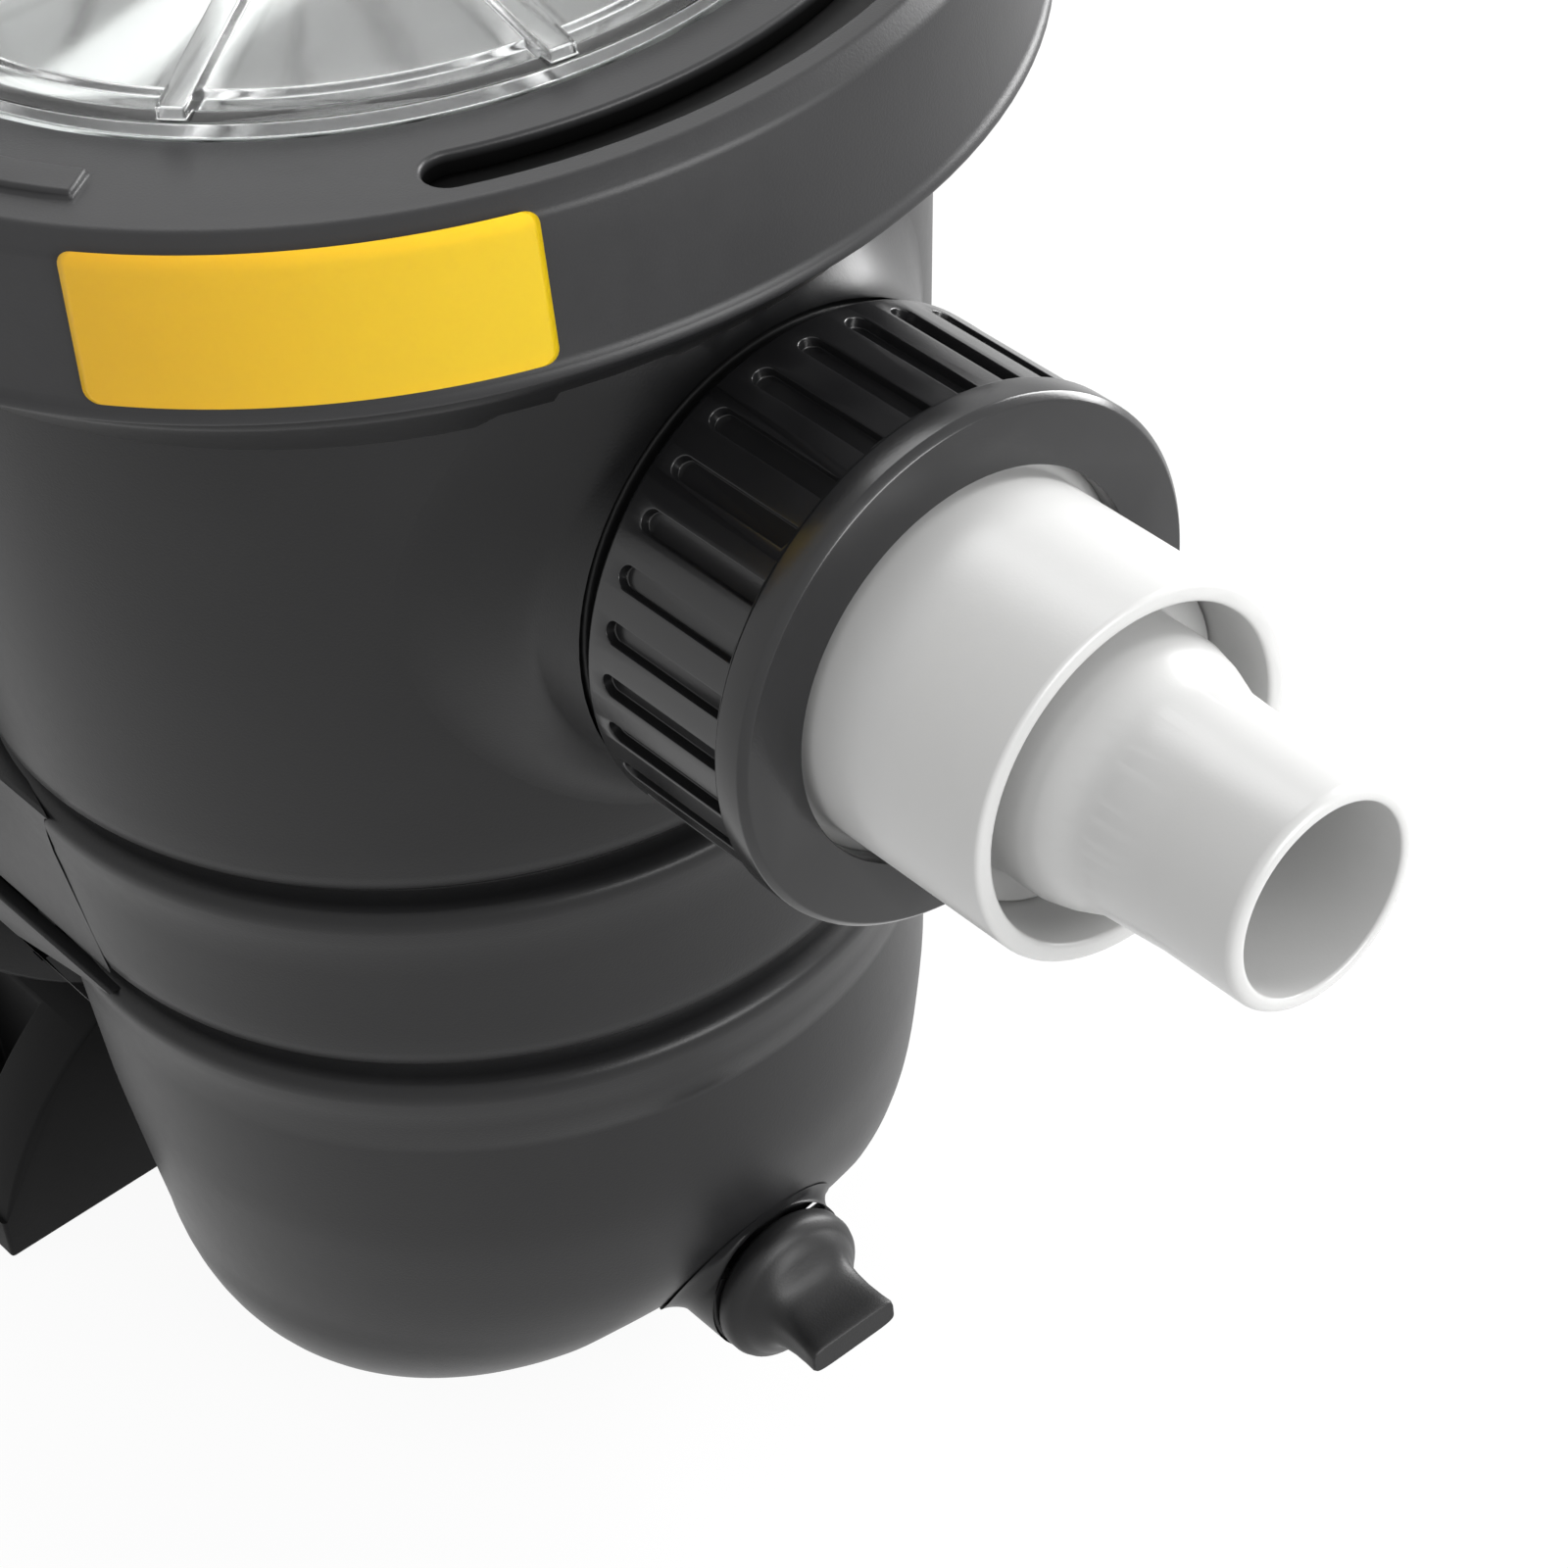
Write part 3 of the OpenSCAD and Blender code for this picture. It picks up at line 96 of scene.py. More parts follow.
class Wire:
    """One output of a shader node. A sum on it adds a Math node."""

    def __init__(self, tree, socket=None):
        self.tree = tree
        self.socket = socket

    def node(self, kind, settings, values, out=0):
        """Adds a node with its settings and the values or links of its sockets."""
        made = self.tree.nodes.new(kind)
        for name, value in settings.items():
            setattr(made, name, value)
        for name, value in values.items():
            if isinstance(value, Wire):
                self.tree.links.new(value.socket, made.inputs[name])
            else:
                made.inputs[name].default_value = value
        return Wire(self.tree, made.outputs[out]) if len(made.outputs) else None

    def sum(self, operation, first, second):
        return self.node("ShaderNodeMath", {"operation": operation}, {0: first, 1: second})

    def __add__(self, other):
        return self.sum("ADD", self, other)

    __radd__ = __add__

    def __sub__(self, other):
        return self.sum("SUBTRACT", self, other)

    def __rsub__(self, other):
        return self.sum("SUBTRACT", other, self)

    def __mul__(self, other):
        return self.sum("MULTIPLY", self, other)

    __rmul__ = __mul__

    def __truediv__(self, other):
        return self.sum("DIVIDE", self, other)

    def __gt__(self, other):
        return self.sum("GREATER_THAN", self, other)

    def at_most(self, other):
        return self.sum("MINIMUM", self, other)

    def mix(self, low, high):
        """The colour low where this value is 0, and high where it is 1."""
        low = low if isinstance(low, Wire) else (*low, 1)
        high = high if isinstance(high, Wire) else (*high, 1)
        return self.node("ShaderNodeMix", {"data_type": "RGBA"}, {0: self, 6: low, 7: high}, out=2)


def new_material(name):
    material = bpy.data.materials.new(name)
    material.use_nodes = True
    material.node_tree.nodes.clear()
    return material, Wire(material.node_tree)


def seen_white(tree, strength):
    """1 for the eye, mirrors and glass, and 0 for light that falls on things."""
    path = tree.tree.nodes.new("ShaderNodeLightPath")
    rays = [Wire(tree.tree, path.outputs[name]) for name in
            ("Is Camera Ray", "Is Glossy Ray", "Is Transmission Ray")]
    return (rays[0] + rays[1] + rays[2]).at_most(1) * strength


table_material, table = new_material("white_table")
table_board = table.node("ShaderNodeBsdfDiffuse", {}, {"Color": (0.8, 0.8, 0.8, 1)})
table_glow = table.node("ShaderNodeEmission", {}, {"Color": (1, 1, 1, 1), "Strength": 1.0})
table_look = table.node("ShaderNodeMixShader", {}, {
    0: seen_white(table, 0.93), 1: table_board, 2: table_glow})
table.node("ShaderNodeOutputMaterial", {}, {"Surface": table_look})
table_mesh = bpy.data.meshes.new("table")
table_mesh.from_pydata([(-6, -6, 0), (6, -6, 0), (6, 6, 0), (-6, 6, 0)], [], [(0, 1, 2, 3)])
table_mesh.materials.append(table_material)
table_top = bpy.data.objects.new("table", table_mesh)
scene.collection.objects.link(table_top)

room = bpy.data.worlds.new("room")
room.use_nodes = True
room.node_tree.nodes.clear()
walls = Wire(room.node_tree)
room_light = walls.node("ShaderNodeBackground", {}, {"Color": (1, 1, 1, 1), "Strength": 0.85})
room_seen = walls.node("ShaderNodeBackground", {}, {"Color": (1, 1, 1, 1), "Strength": 1.0})
room_look = walls.node("ShaderNodeMixShader", {}, {0: seen_white(walls, 1.0), 1: room_light, 2: room_seen})
walls.node("ShaderNodeOutputWorld", {}, {"Surface": room_look})
scene.world = room


def lamp(name, place, aim, size, power):
    """A rectangular soft box that faces a point on the pump."""
    data = bpy.data.lights.new(name, "AREA")
    data.shape = "RECTANGLE"
    data.size, data.size_y = size
    data.energy = power
    made = bpy.data.objects.new(name, data)
    made.location = place
    made.rotation_euler = (Vector(aim) - Vector(place)).to_track_quat("-Z", "Y").to_euler()
    scene.collection.objects.link(made)


lamp("soft_box_above", (0.5, 0.7, 1.9), (0, -0.1, 0.2), (1.0, 0.7), 10)
lamp("soft_wall_behind", (1.15, 1.6, 1.5), (0, -0.14, 0.29), (2.4, 1.8), 6)
lamp("soft_box_right", (1.6, -0.25, 0.6), (0, -0.15, 0.12), (0.8, 1.1), 46)
lamp("soft_box_front", (0.3, -1.8, 0.7), (0, -0.15, 0.15), (1.0, 0.8), 26)


# ---- Strainer pot and pump chamber ----
# One satin moulding in glass-filled plastic: the round-bellied pot with its two soft
# grooves, the suction and drain bosses that grow out of it, and the chamber behind.

mm = 0.001
basket_low, basket_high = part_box("strainer_basket")
pot_y = (basket_low.y + basket_high.y) / 2 / mm
nut_low, nut_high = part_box("suction_nut")
port_z = (nut_low.z + nut_high.z) / 2 / mm
groove_tops = (-54, -93)
groove_line = ((9, 0), (4, -0.05), (1.4, -0.3), (0.3, -1.2), (-0.5, -3.0), (-1.6, -4.5), (-2.6, -3.8), (-3.3, -1.8),
               (-3.7, -0.4), (-4.4, 0.7), (-5.4, 1.2), (-7.5, 1.1), (-10.5, 0.6), (-14, 0.15), (-18, 0))


def pot_half(up):
    """Half depth and half width of the pot's outside, at a height above the port's axis."""
    wall = 80.5 + 0.07 * up
    if up > -112:
        return wall, wall
    belly = math.sqrt(max(0, 73 ** 2 - (-126 - up) ** 2)) if up < -126 else 73
    depth = -1.1 * math.log(math.exp(-wall / 1.1) + math.exp(-belly / 1.1)) if belly > 1 else belly
    depth -= 0.8 * math.exp(-((up + 149) / 9) ** 2)
    floor = up + 199
    width = 34.6 + math.sqrt(max(0, 33 ** 2 - (33 - floor) ** 2)) if floor < 33 else 67.6 + (floor - 33) * 0.114
    return max(0, min(depth, wall)), max(0, min(width, wall))


def pot_point(up, angle, out=0):
    depth, width = pot_half(up)
    side = width - depth
    x = (depth + out) * math.cos(angle) + side * max(-1, min(1, 3.2 * math.cos(angle)))
    return x, pot_y + (depth + out) * math.sin(angle), port_z + up


def pot_front(x, up):
    """How far in front of the pot's axis its wall stands."""
    depth, width = pot_half(up)
    past = max(0, abs(x) - (width - depth))
    return pot_y - math.sqrt(max(0.01, depth ** 2 - past ** 2))


def skinned(name, rings, closed=False):
    """A smooth mesh through rings of points, all with as many points."""
    shape = bmesh.new()
    made = [[shape.verts.new([c * mm for c in point]) for point in ring] for ring in rings]
    count = len(rings[0])
    for low, high in zip(made, made[1:]):
        for i in range(count):
            j = (i + 1) % count
            shape.faces.new((low[i], low[j], high[j], high[i]))
    if closed:
        shape.faces.new(list(reversed(made[0])))
        shape.faces.new(made[-1])
    bmesh.ops.recalc_face_normals(shape, faces=shape.faces)
    for face in shape.faces:
        face.smooth = len(face.verts) < 5
    mesh = bpy.data.meshes.new(name)
    shape.to_mesh(mesh)
    shape.free()
    thing = bpy.data.objects.new(name, mesh)
    scene.collection.objects.link(thing)
    return thing


def wall_skin():
    """Outside of the pot, from under its neck to its rounded floor."""
    heights = {33.5: 0, 28: 0, 20: 0, 10: 0, 0: 0, -10: 0, -20: 0, -30: 0, -38: 0, -80: 0, -86: 0}
    for top in groove_tops:
        for rise, out in groove_line:
            heights[top + rise] = out
    for step in range(48):
        heights[-112 - 14 * step / 12 if step < 12 else -126 - 72.9 * math.sin(math.pi / 2 * (step - 12) / 35)] = 0
    rings = [[pot_point(up, 2 * math.pi * i / 200, heights[up]) for i in range(200)]
             for up in sorted(heights, reverse=True)]
    return skinned("pot_wall", rings)


def boss_blend(name, centre_up, radius, front, fillet, spread=72):
    """The fillet between a round boss and the pot's wall."""
    rings = [[] for step in range(15)]
    for i in range(spread):
        turn = 2 * math.pi * i / spread
        across, rise = math.cos(turn), math.sin(turn)

        def wall(reach):
            x, up = reach * across, centre_up + reach * rise
            return Vector((x, pot_front(x, up), port_z + up))
        start, end = wall(radius), wall(radius + fillet)
        start.y = max(front, start.y - fillet)
        away = (wall(radius + fillet + 0.5) - end).normalized() * fillet * 1.25
        into = Vector((0, 1, 0)) * fillet * 1.25
        for step, ring in enumerate(rings[1:]):
            t = step / 13
            point = (start * (2 * t ** 3 - 3 * t ** 2 + 1) + into * (t ** 3 - 2 * t ** 2 + t)
                     + end * (3 * t ** 2 - 2 * t ** 3) + away * (t ** 3 - t ** 2))
            ring.append(point)
        rings[0].append(Vector((start.x, front, start.z)))
    return skinned(name, rings)


def solid_copy(node):
    """A mesh to work on, the same as the solid."""
    shape = bmesh.new()
    shape.from_mesh(frame["nodes"][node].data)
    bmesh.ops.remove_doubles(shape, verts=shape.verts, dist=2e-6)
    return shape


def overfilled(shape):
    """Faces whose outline crosses itself, so that they cover more than they should."""
    filled = {}
    for corner in shape.calc_loop_triangles():
        first, second, third = (loop.vert.co for loop in corner)
        face = corner[0].face
        filled[face] = filled.get(face, 0) + (second - first).cross(third - first).length / 2
    return [face for face, area in filled.items() if len(face.verts) > 4 and area > face.calc_area() + 3e-7]


def rounded(shape, width, steps, sharp):
    """The shape with its sharp edges rounded, but not round a face that has no room for it."""
    number = shape.faces.layers.int.new("number")
    for count, face in enumerate(shape.faces):
        face[number] = count
    tight = set()
    for turn in range(12):
        trial = shape.copy()
        number = trial.faces.layers.int["number"]
        hard = [e for e in trial.edges if len(e.link_faces) == 2 and e.calc_face_angle(0) > math.radians(sharp)
                and not any(face[number] in tight for face in e.link_faces)]
        bmesh.ops.bevel(trial, geom=hard, offset=width, segments=steps, profile=0.5, affect="EDGES",
                        clamp_overlap=False, offset_type="OFFSET", miter_outer="SHARP")
        worse = {face[number] for face in overfilled(trial)} - tight
        if not worse:
            shape.free()
            return trial
        tight |= worse
        trial.free()
    return shape


def placed(shape, node, width, steps=3, sharp=28):
    """Rounds the sharp edges of a worked mesh and puts it in the place of its solid."""
    bmesh.ops.dissolve_limit(shape, angle_limit=math.radians(0.4), verts=shape.verts, edges=shape.edges)
    shape = rounded(shape, width, steps, sharp)
    for face in shape.faces:
        face.smooth = True
    for edge in shape.edges:
        edge.smooth = len(edge.link_faces) == 2 and edge.calc_face_angle(0) <= math.radians(34)
    mesh = bpy.data.meshes.new(node + "_look")
    shape.to_mesh(mesh)
    shape.free()
    if "custom_normal" in mesh.attributes:
        mesh.attributes.remove(mesh.attributes["custom_normal"])
    made = bpy.data.objects.new(node + "_look", mesh)
    scene.collection.objects.link(made)
    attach(made, frame["nodes"][node]["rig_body"])
    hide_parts(node)
    return made


def edges_rounded(node, width):
    """A piece the same as its solid, with its sharp edges rounded."""
    return placed(solid_copy(node), node, width)


def moulded(name, colour, roughness, grain=0.05, spots=0.05, cell=2600.0, lift=0.25, shine=0.5, painted_slot_shade=None):
    """Moulded plastic: a fine skin, slow changes of gloss and faint flow marks in the colour.

    Where painted_slot_shade is 1, the surface is deep in a slot and is painted with shade: a near-black diffuse
    takes the place of the plastic.
    """
    material, t = new_material(name)
    place = t.node("ShaderNodeTexCoord", {}, {}, out=3)
    skin = t.node("ShaderNodeTexNoise", {}, {"Vector": place, "Scale": cell, "Detail": 2.0})
    flow = t.node("ShaderNodeTexNoise", {}, {"Vector": place, "Scale": 14.0, "Detail": 3.0})
    dust = t.node("ShaderNodeTexNoise", {}, {"Vector": place, "Scale": 420.0, "Detail": 4.0})
    light = tuple(c * (1 + lift) + 0.003 for c in colour)
    base = ((flow - 0.32) * 2.2 * (0.6 + dust * 0.8)).mix(colour, light)
    gloss = roughness + (flow - 0.5) * spots * 2 + (dust - 0.5) * spots
    bump = t.node("ShaderNodeBump", {}, {"Strength": grain, "Distance": 0.0004, "Height": skin})
    skin_shader = t.node("ShaderNodeBsdfPrincipled", {}, {
        "Base Color": base, "Roughness": gloss, "Normal": bump, "IOR": 1.5, "Specular IOR Level": shine})
    if painted_slot_shade:
        # Painted shade: a near-black diffuse stands in for the shade deep in the slots.
        shade = t.node("ShaderNodeBsdfDiffuse", {}, {"Color": (0.004, 0.004, 0.004, 1)})
        skin_shader = t.node("ShaderNodeMixShader", {}, {0: painted_slot_shade(t, place), 1: skin_shader, 2: shade})
    t.node("ShaderNodeOutputMaterial", {}, {"Surface": skin_shader})
    return material


def from_pot_axis(t, place):
    """How far a point of the surface is from the pot's upright axis."""
    aside = t.node("ShaderNodeVectorMath", {"operation": "MULTIPLY_ADD"}, {
        0: place, 1: (1, 1, 0), 2: (0, -pot_y * mm, 0)})
    return t.node("ShaderNodeVectorMath", {"operation": "LENGTH"}, {0: aside}, out=1)


def dress(piece, material):
    """Gives a piece its material."""
    piece.data.materials.append(material)


casing_plastic = moulded("satin_charcoal", (0.007, 0.007, 0.0074), 0.38, grain=0.07, shine=0.27)
casing = solid_copy("pump_casing")
boss_radius, boss_front, boss_fillet = 38.3, -91.5, 11
drain_radius, drain_front, drain_fillet, drain_up = 14.1, -66.4, 3, 36.2 - port_z
belly_radius, belly_up = 73, -125
old_wall = []
for face in casing.faces:
    centre = face.calc_center_median() / mm
    up = centre.z - port_z
    aside, ahead = centre.x, centre.y - pot_y
    from_port = math.hypot(aside, up)
    if boss_front + 3 < ahead < -55 and boss_radius - 1.8 < from_port < 50:
        old_wall.append(face)
    elif -200 < up < 33.4 and math.hypot(aside, ahead) > 1:
        depth, width = pot_half(max(up, -198.9))
        side = width - depth
        past = max(0, abs(aside) - side)
        distance = math.hypot(past, ahead) - depth
        outward = Vector((aside, ahead, min(0, up - belly_up))).normalized()
        if up < -150:
            distance = min(distance, math.hypot(past, ahead, up - belly_up) - belly_radius)
        if -5 < distance < 3.2 and face.normal.dot(outward) > -0.3:
            old_wall.append(face)
bmesh.ops.delete(casing, geom=old_wall, context="FACES_ONLY")
dress(placed(casing, "pump_casing", 0.0009), casing_plastic)
for piece in (wall_skin(),
              boss_blend("suction_boss_fillet", 0, boss_radius, pot_y + boss_front, boss_fillet),
              boss_blend("drain_boss_fillet", drain_up, drain_radius, pot_y + drain_front, drain_fillet, 48)):
    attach(piece, "casing")
    dress(piece, casing_plastic)


# ---- Foot ----
# A separate black moulding under the chamber, ribbed inside, with a flange and
# four slotted holes, held to the chamber by screws from below.

black_plastic = moulded("satin_black", (0.006, 0.006, 0.0063), 0.42, grain=0.07, shine=0.28)
foot_plastic = moulded("matt_black", (0.004, 0.004, 0.0042), 0.55, grain=0.07, shine=0.12)
dress(edges_rounded("pump_foot", 0.0008), foot_plastic)


# ---- Lock ring ----
# A heavy black ring with arc slots in its top, turned by hand to clamp the lid.

ring = solid_copy("lock_ring")
ring_low, ring_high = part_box("lock_ring")
shoulder = max(math.hypot(v.co.x, v.co.y - pot_y * mm) for v in ring.verts if v.co.z > ring_high.z - 0.0035)
ring_top = max(v.co.z for v in ring.verts
               if shoulder - 0.004 < math.hypot(v.co.x, v.co.y - pot_y * mm))
for vert in ring.verts:
    aside, ahead = vert.co.x, vert.co.y - pot_y * mm
    reach = math.hypot(aside, ahead)
    if reach > shoulder - 0.0003 and ring_top - 0.002 < vert.co.z < ring_top - 0.0005:
        vert.co.z -= 0.0016
    elif shoulder - 0.0016 < reach < shoulder - 0.0008 and vert.co.z > ring_top - 0.0003:
        vert.co.x -= aside / reach * 0.0016
        vert.co.y -= ahead / reach * 0.0016


def in_ring_slot(t, place):
    """1 inside the arc slots, below the ring's top: the mask of the painted slot shade."""
    height = t.node("ShaderNodeSeparateXYZ", {}, {"Vector": place}, out=2)
    reach = from_pot_axis(t, place)
    return (reach > 0.0842) * (0.0928 - reach > 0) * ((ring_top - 0.0006 - height) * 900).at_most(1)


# The lock ring's arc slots are painted with shade inside, below the ring's top.
ring_plastic = moulded("satin_ring_grey", (0.014, 0.014, 0.0148), 0.42, grain=0.07, shine=0.34, painted_slot_shade=in_ring_slot)
dress(placed(ring, "lock_ring", 0.0007, 4, 26), ring_plastic)


# ---- Sticker ----
# A yellow film with round corners, stuck on the ring's wall and left bare.

def sheet_on_wall(name, start, sweep, low, high, radius_low, radius_high, thick, corner, columns=60, rows=6):
    """A thin film that follows a conical wall, with round corners."""
    span = math.radians(sweep) * (radius_low + radius_high) / 2
    tall = high - low
    shape = bmesh.new()
    grid = []
    steps = [corner * (1 - math.cos(math.radians(15 * i))) for i in range(6)]
    levels = steps + [corner + (tall - 2 * corner) * j / rows for j in range(rows + 1)]
    levels += [tall - step for step in reversed(steps)]
    for v in levels:
        edge = min(v, tall - v)
        cut = corner - math.sqrt(max(0, corner ** 2 - (corner - edge) ** 2)) if edge < corner else 0
        line = []
        for i in range(columns + 1):
            u = cut + (span - 2 * cut) * i / columns
            angle = math.radians(start) + u / span * math.radians(sweep)
            radius = radius_low + (radius_high - radius_low) * v / tall + thick
            line.append(shape.verts.new((radius * math.cos(angle), pot_y * mm + radius * math.sin(angle), low + v)))
        grid.append(line)
    for j in range(len(grid) - 1):
        for i in range(columns):
            shape.faces.new((grid[j][i], grid[j][i + 1], grid[j + 1][i + 1], grid[j + 1][i]))
    bmesh.ops.solidify(shape, geom=shape.faces, thickness=thick * 0.7)
    for face in shape.faces:
        face.smooth = True
    mesh = bpy.data.meshes.new(name)
    shape.to_mesh(mesh)
    shape.free()
    made = bpy.data.objects.new(name, mesh)
    scene.collection.objects.link(made)
    return made


film_low, film_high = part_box("ring_sticker")
film = sheet_on_wall("sticker", -146.4, 35.5, film_low.z, film_high.z, 0.1002, 0.0992, 0.0003, 0.0022)
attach(film, "ring")
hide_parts("ring_sticker")
film_material, t = new_material("yellow_film")
place = t.node("ShaderNodeTexCoord", {}, {}, out=3)
across = t.node("ShaderNodeSeparateXYZ", {}, {"Vector": place})
# Painted light and shade: the film's colour goes from a darker yellow on its left to a brighter yellow on its
# right, as the lamps light it.
painted_side_light = (across + 0.083) / 0.048
slow = t.node("ShaderNodeTexNoise", {}, {"Vector": place, "Scale": 30.0, "Detail": 2.0})
ripple = t.node("ShaderNodeTexNoise", {}, {"Vector": place, "Scale": 120.0, "Detail": 2.0})
film_colour = (painted_side_light + (slow - 0.5) * 0.3).mix((0.86, 0.53, 0.012), (0.98, 0.70, 0.010))
film_bump = t.node("ShaderNodeBump", {}, {"Strength": 0.12, "Distance": 0.0004, "Height": ripple})
film_skin = t.node("ShaderNodeBsdfPrincipled", {}, {
    "Base Color": film_colour, "Roughness": 0.33 + (slow - 0.5) * 0.1, "Normal": film_bump,
    "Coat Weight": 0.3, "Coat Roughness": 0.1})
t.node("ShaderNodeOutputMaterial", {}, {"Surface": film_skin})
dress(film, film_material)


# ---- Clear lid ----
# A thick clear moulding with raised ribs, a channel round its rim and a flange
# that the lock ring presses down on the rubber seal.

lid_material, t = new_material("clear_plastic")
place = t.node("ShaderNodeTexCoord", {}, {}, out=3)
wave = t.node("ShaderNodeTexNoise", {}, {"Vector": place, "Scale": 45.0, "Detail": 2.0})
scuff = t.node("ShaderNodeTexNoise", {}, {"Vector": place, "Scale": 900.0, "Detail": 3.0})
lid_bump = t.node("ShaderNodeBump", {}, {"Strength": 0.05, "Distance": 0.001, "Height": wave})
clear = t.node("ShaderNodeBsdfPrincipled", {}, {
    "Base Color": (0.95, 0.96, 0.96, 1), "Roughness": 0.09 + scuff * 0.06, "Normal": lid_bump,
    "Transmission Weight": 1.0, "IOR": 1.46, "Specular IOR Level": 0.4})
through = t.node("ShaderNodeBsdfTransparent", {}, {"Color": (0.93, 0.94, 0.94, 1)})
lid_path = t.tree.nodes.new("ShaderNodeLightPath")
lid_look = t.node("ShaderNodeMixShader", {}, {
    0: Wire(t.tree, lid_path.outputs["Is Shadow Ray"]), 1: clear, 2: through})
# Painted shade: where the flange lies under the lock ring, the clear plastic is drawn as near-black, rough plastic,
# for the ring's shadow and the black seal under it, so that it shows little of the white room.
painted_flange_shade = t.node("ShaderNodeBsdfPrincipled", {}, {
    "Base Color": (0.006, 0.006, 0.006, 1), "Roughness": 0.5 + scuff * 0.1, "Specular IOR Level": 0.2})
reach = from_pot_axis(t, place)
flange = reach > 0.0778
t.node("ShaderNodeOutputMaterial", {}, {"Surface": t.node("ShaderNodeMixShader", {}, {
    0: flange, 1: lid_look, 2: painted_flange_shade})})
dress(edges_rounded("clear_lid", 0.00036), lid_material)


# ---- Strainer basket ----
# A pale open basket that stands on a ledge in the pot and catches leaves.

basket_plastic = moulded("pale_basket", (0.50, 0.51, 0.50), 0.5, grain=0.05, lift=0.1)
dress(edges_rounded("strainer_basket", 0.0003), basket_plastic)


# ---- Unions ----
# On each port a glossy black nut with grip slots clamps a white tail, and a
# white hose tail is screwed into the tail's socket.

nut_plastic = moulded("glossy_black", (0.008, 0.008, 0.0085), 0.22, grain=0.03, shine=0.45)
white_plastic = moulded("white_pipe_plastic", (0.42, 0.42, 0.416), 0.3, grain=0.03, lift=0.06, spots=0.03)
for side in ("suction", "discharge"):
    dress(edges_rounded(side + "_nut", 0.00022), nut_plastic)
    dress(edges_rounded(side + "_tail", 0.0008), white_plastic)
    dress(edges_rounded(side + "_hose_adapter", 0.0006), white_plastic)


# ---- Drain plugs ----
# Black screw plugs with a flat wing for the fingers, in the pot and the chamber.

thread = [(-19.2 + 1.4 * turn, 7.9 - 0.5 * (turn % 2), 7.9 - 0.5 * (turn % 2), 2) for turn in range(14)]
seal_groove = [(0.25, 8.7, 8.7, 2), (2.2, 8.7, 8.7, 2), (2.2, 10.9, 10.9, 2), (0.3, 10.9, 10.9, 2)]
plug_head = [(0.3, 12.4, 12.4, 2), (0.7, 13.4, 13.4, 2), (1.4, 13.8, 13.8, 2), (3.4, 13.8, 13.8, 2),
             (4.4, 13.4, 13.4, 2), (5.1, 12.4, 12.4, 2), (5.7, 11.8, 11.8, 2), (6.6, 11.2, 11.0, 2),
              (7.4, 10.3, 9.4, 2.2), (8.4, 9.3, 7.2, 2.8), (9.6, 8.8, 5.4, 3.6), (11.4, 8.5, 4.1, 5),
              (14, 8.4, 3.3, 6), (17, 8.6, 2.8, 6), (19, 8.8, 2.6, 6), (19.6, 8.6, 2.3, 6)]
plug_rings = [(-20, 7.2, 7.2, 2), *thread, (0.2, 8, 8, 2), *seal_groove, *plug_head]


def drain_plug(node, body, face, out, across):
    """A plug: a threaded shank, a groove for the seal, and a collar that thins into a wing."""
    rings = []
    for reach, wide, thick, power in plug_rings:
        ring = []
        for i in range(64):
            turn = 2 * math.pi * i / 64
            c, n = math.cos(turn), math.sin(turn)
            size = (abs(c) ** power + abs(n) ** power) ** (-1 / power)
            ring.append(face + out * reach + across * (wide * size * c) + Vector((0, 0, thick * size * n)))
        rings.append(ring)
    head = skinned(node + "_head", rings, closed=True)
    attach(head, body)
    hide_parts(node)
    dress(head, black_plastic)


plug_low, plug_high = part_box("pot_drain_plug")
drain_plug("pot_drain_plug", "pot_drain", Vector((0, plug_low.y / mm + 19.8, (plug_low.z + plug_high.z) / 2 / mm)),
           Vector((0, -1, 0)), Vector((1, 0, 0)))
plug_low, plug_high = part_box("chamber_drain_plug")
drain_plug("chamber_drain_plug", "chamber_drain",
           Vector((plug_high.x / mm - 19.8, (plug_low.y + plug_high.y) / 2 / mm,
                   (plug_low.z + plug_high.z) / 2 / mm)),
           Vector((1, 0, 0)), Vector((0, 1, 0)))


# ---- Motor ----
# A finned aluminium tube between two end castings, all powder coated black, with
# a plastic fan cover behind and a plastic terminal box on top.

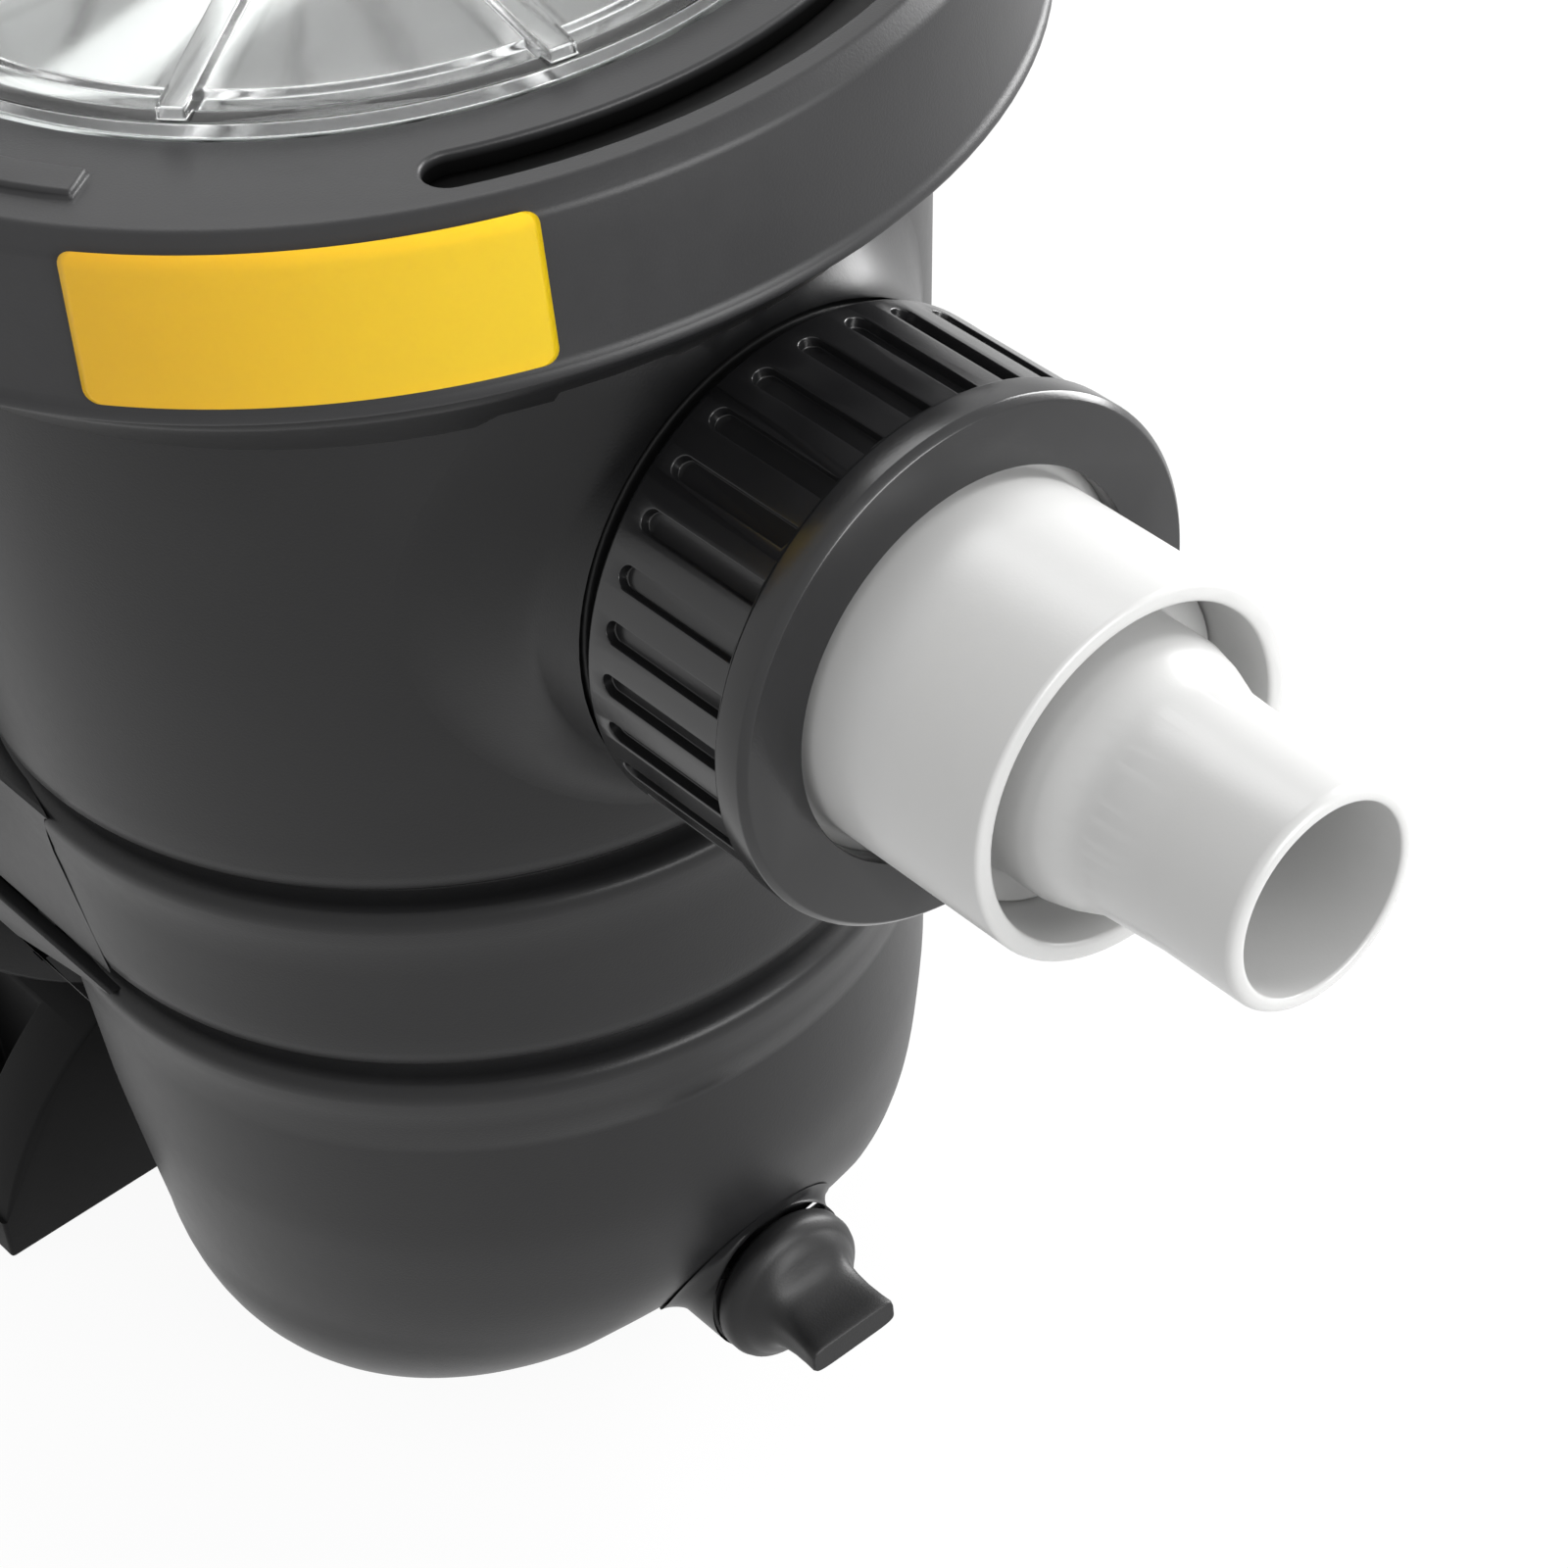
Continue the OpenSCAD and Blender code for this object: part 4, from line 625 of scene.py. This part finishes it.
motor_paint = moulded("black_powder_coat", (0.016, 0.016, 0.017), 0.5, grain=0.16, cell=1400.0, shine=0.4)
for node in ("motor_housing", "motor_flange", "rear_end_bell"):
    dress(edges_rounded(node, 0.0005), motor_paint)
for node in ("fan_cover", "terminal_box", "terminal_box_lid", "motor_foot", "cable_gland"):
    dress(edges_rounded(node, 0.00045), black_plastic)
dress(edges_rounded("seal_plate", 0.0006), casing_plastic)


# ---- Steel, rubber and inner pieces ----
# Plain steel bolts and shaft, rubber seals and pads, and the parts of the pump
# and motor that show only when it is opened.

def turned_steel(name, colour, roughness):
    material, t = new_material(name)
    place = t.node("ShaderNodeTexCoord", {}, {}, out=3)
    lines = t.node("ShaderNodeTexNoise", {}, {"Vector": place, "Scale": 1500.0, "Detail": 3.0})
    stain = t.node("ShaderNodeTexNoise", {}, {"Vector": place, "Scale": 60.0, "Detail": 3.0})
    base = stain.mix(tuple(c * 0.85 for c in colour), colour)
    bump = t.node("ShaderNodeBump", {}, {"Strength": 0.1, "Distance": 0.0003, "Height": lines})
    skin_shader = t.node("ShaderNodeBsdfPrincipled", {}, {
        "Base Color": base, "Roughness": roughness + (lines - 0.5) * 0.15, "Metallic": 1.0, "Normal": bump})
    t.node("ShaderNodeOutputMaterial", {}, {"Surface": skin_shader})
    return material


steel = turned_steel("plain_steel", (0.6, 0.6, 0.61), 0.32)
iron = turned_steel("bare_laminations", (0.35, 0.35, 0.36), 0.5)
wire = turned_steel("varnished_wire", (0.62, 0.28, 0.12), 0.35)
rubber = moulded("black_rubber", (0.014, 0.014, 0.014), 0.7, grain=0.2, cell=1800.0)
ceramic = moulded("lapped_ceramic", (0.8, 0.78, 0.72), 0.25, lift=0.05)
cream_plastic = moulded("cream_plastic", (0.66, 0.63, 0.52), 0.45, lift=0.08)
by_slot = {
    "plain_steel": steel, "core_iron": iron, "copper": wire, "black_rubber": rubber, "ceramic": ceramic,
    "terminal_plastic": cream_plastic, "capacitor_case": white_plastic, "black_plastic": black_plastic,
    "white_pvc": white_plastic, "charcoal_plastic": casing_plastic,
}
slots = {s["node"]: s["material_slot"] for s in frame["record"]["subparts"]}
made_again = {o.name.rsplit("_", 1)[0] for o in scene.objects if o.name.endswith(("_look", "_head"))}
for node, thing in frame["nodes"].items():
    if node not in made_again and node != "ring_sticker":
        thing.data.materials.clear()
        thing.data.materials.append(by_slot[slots[node]])
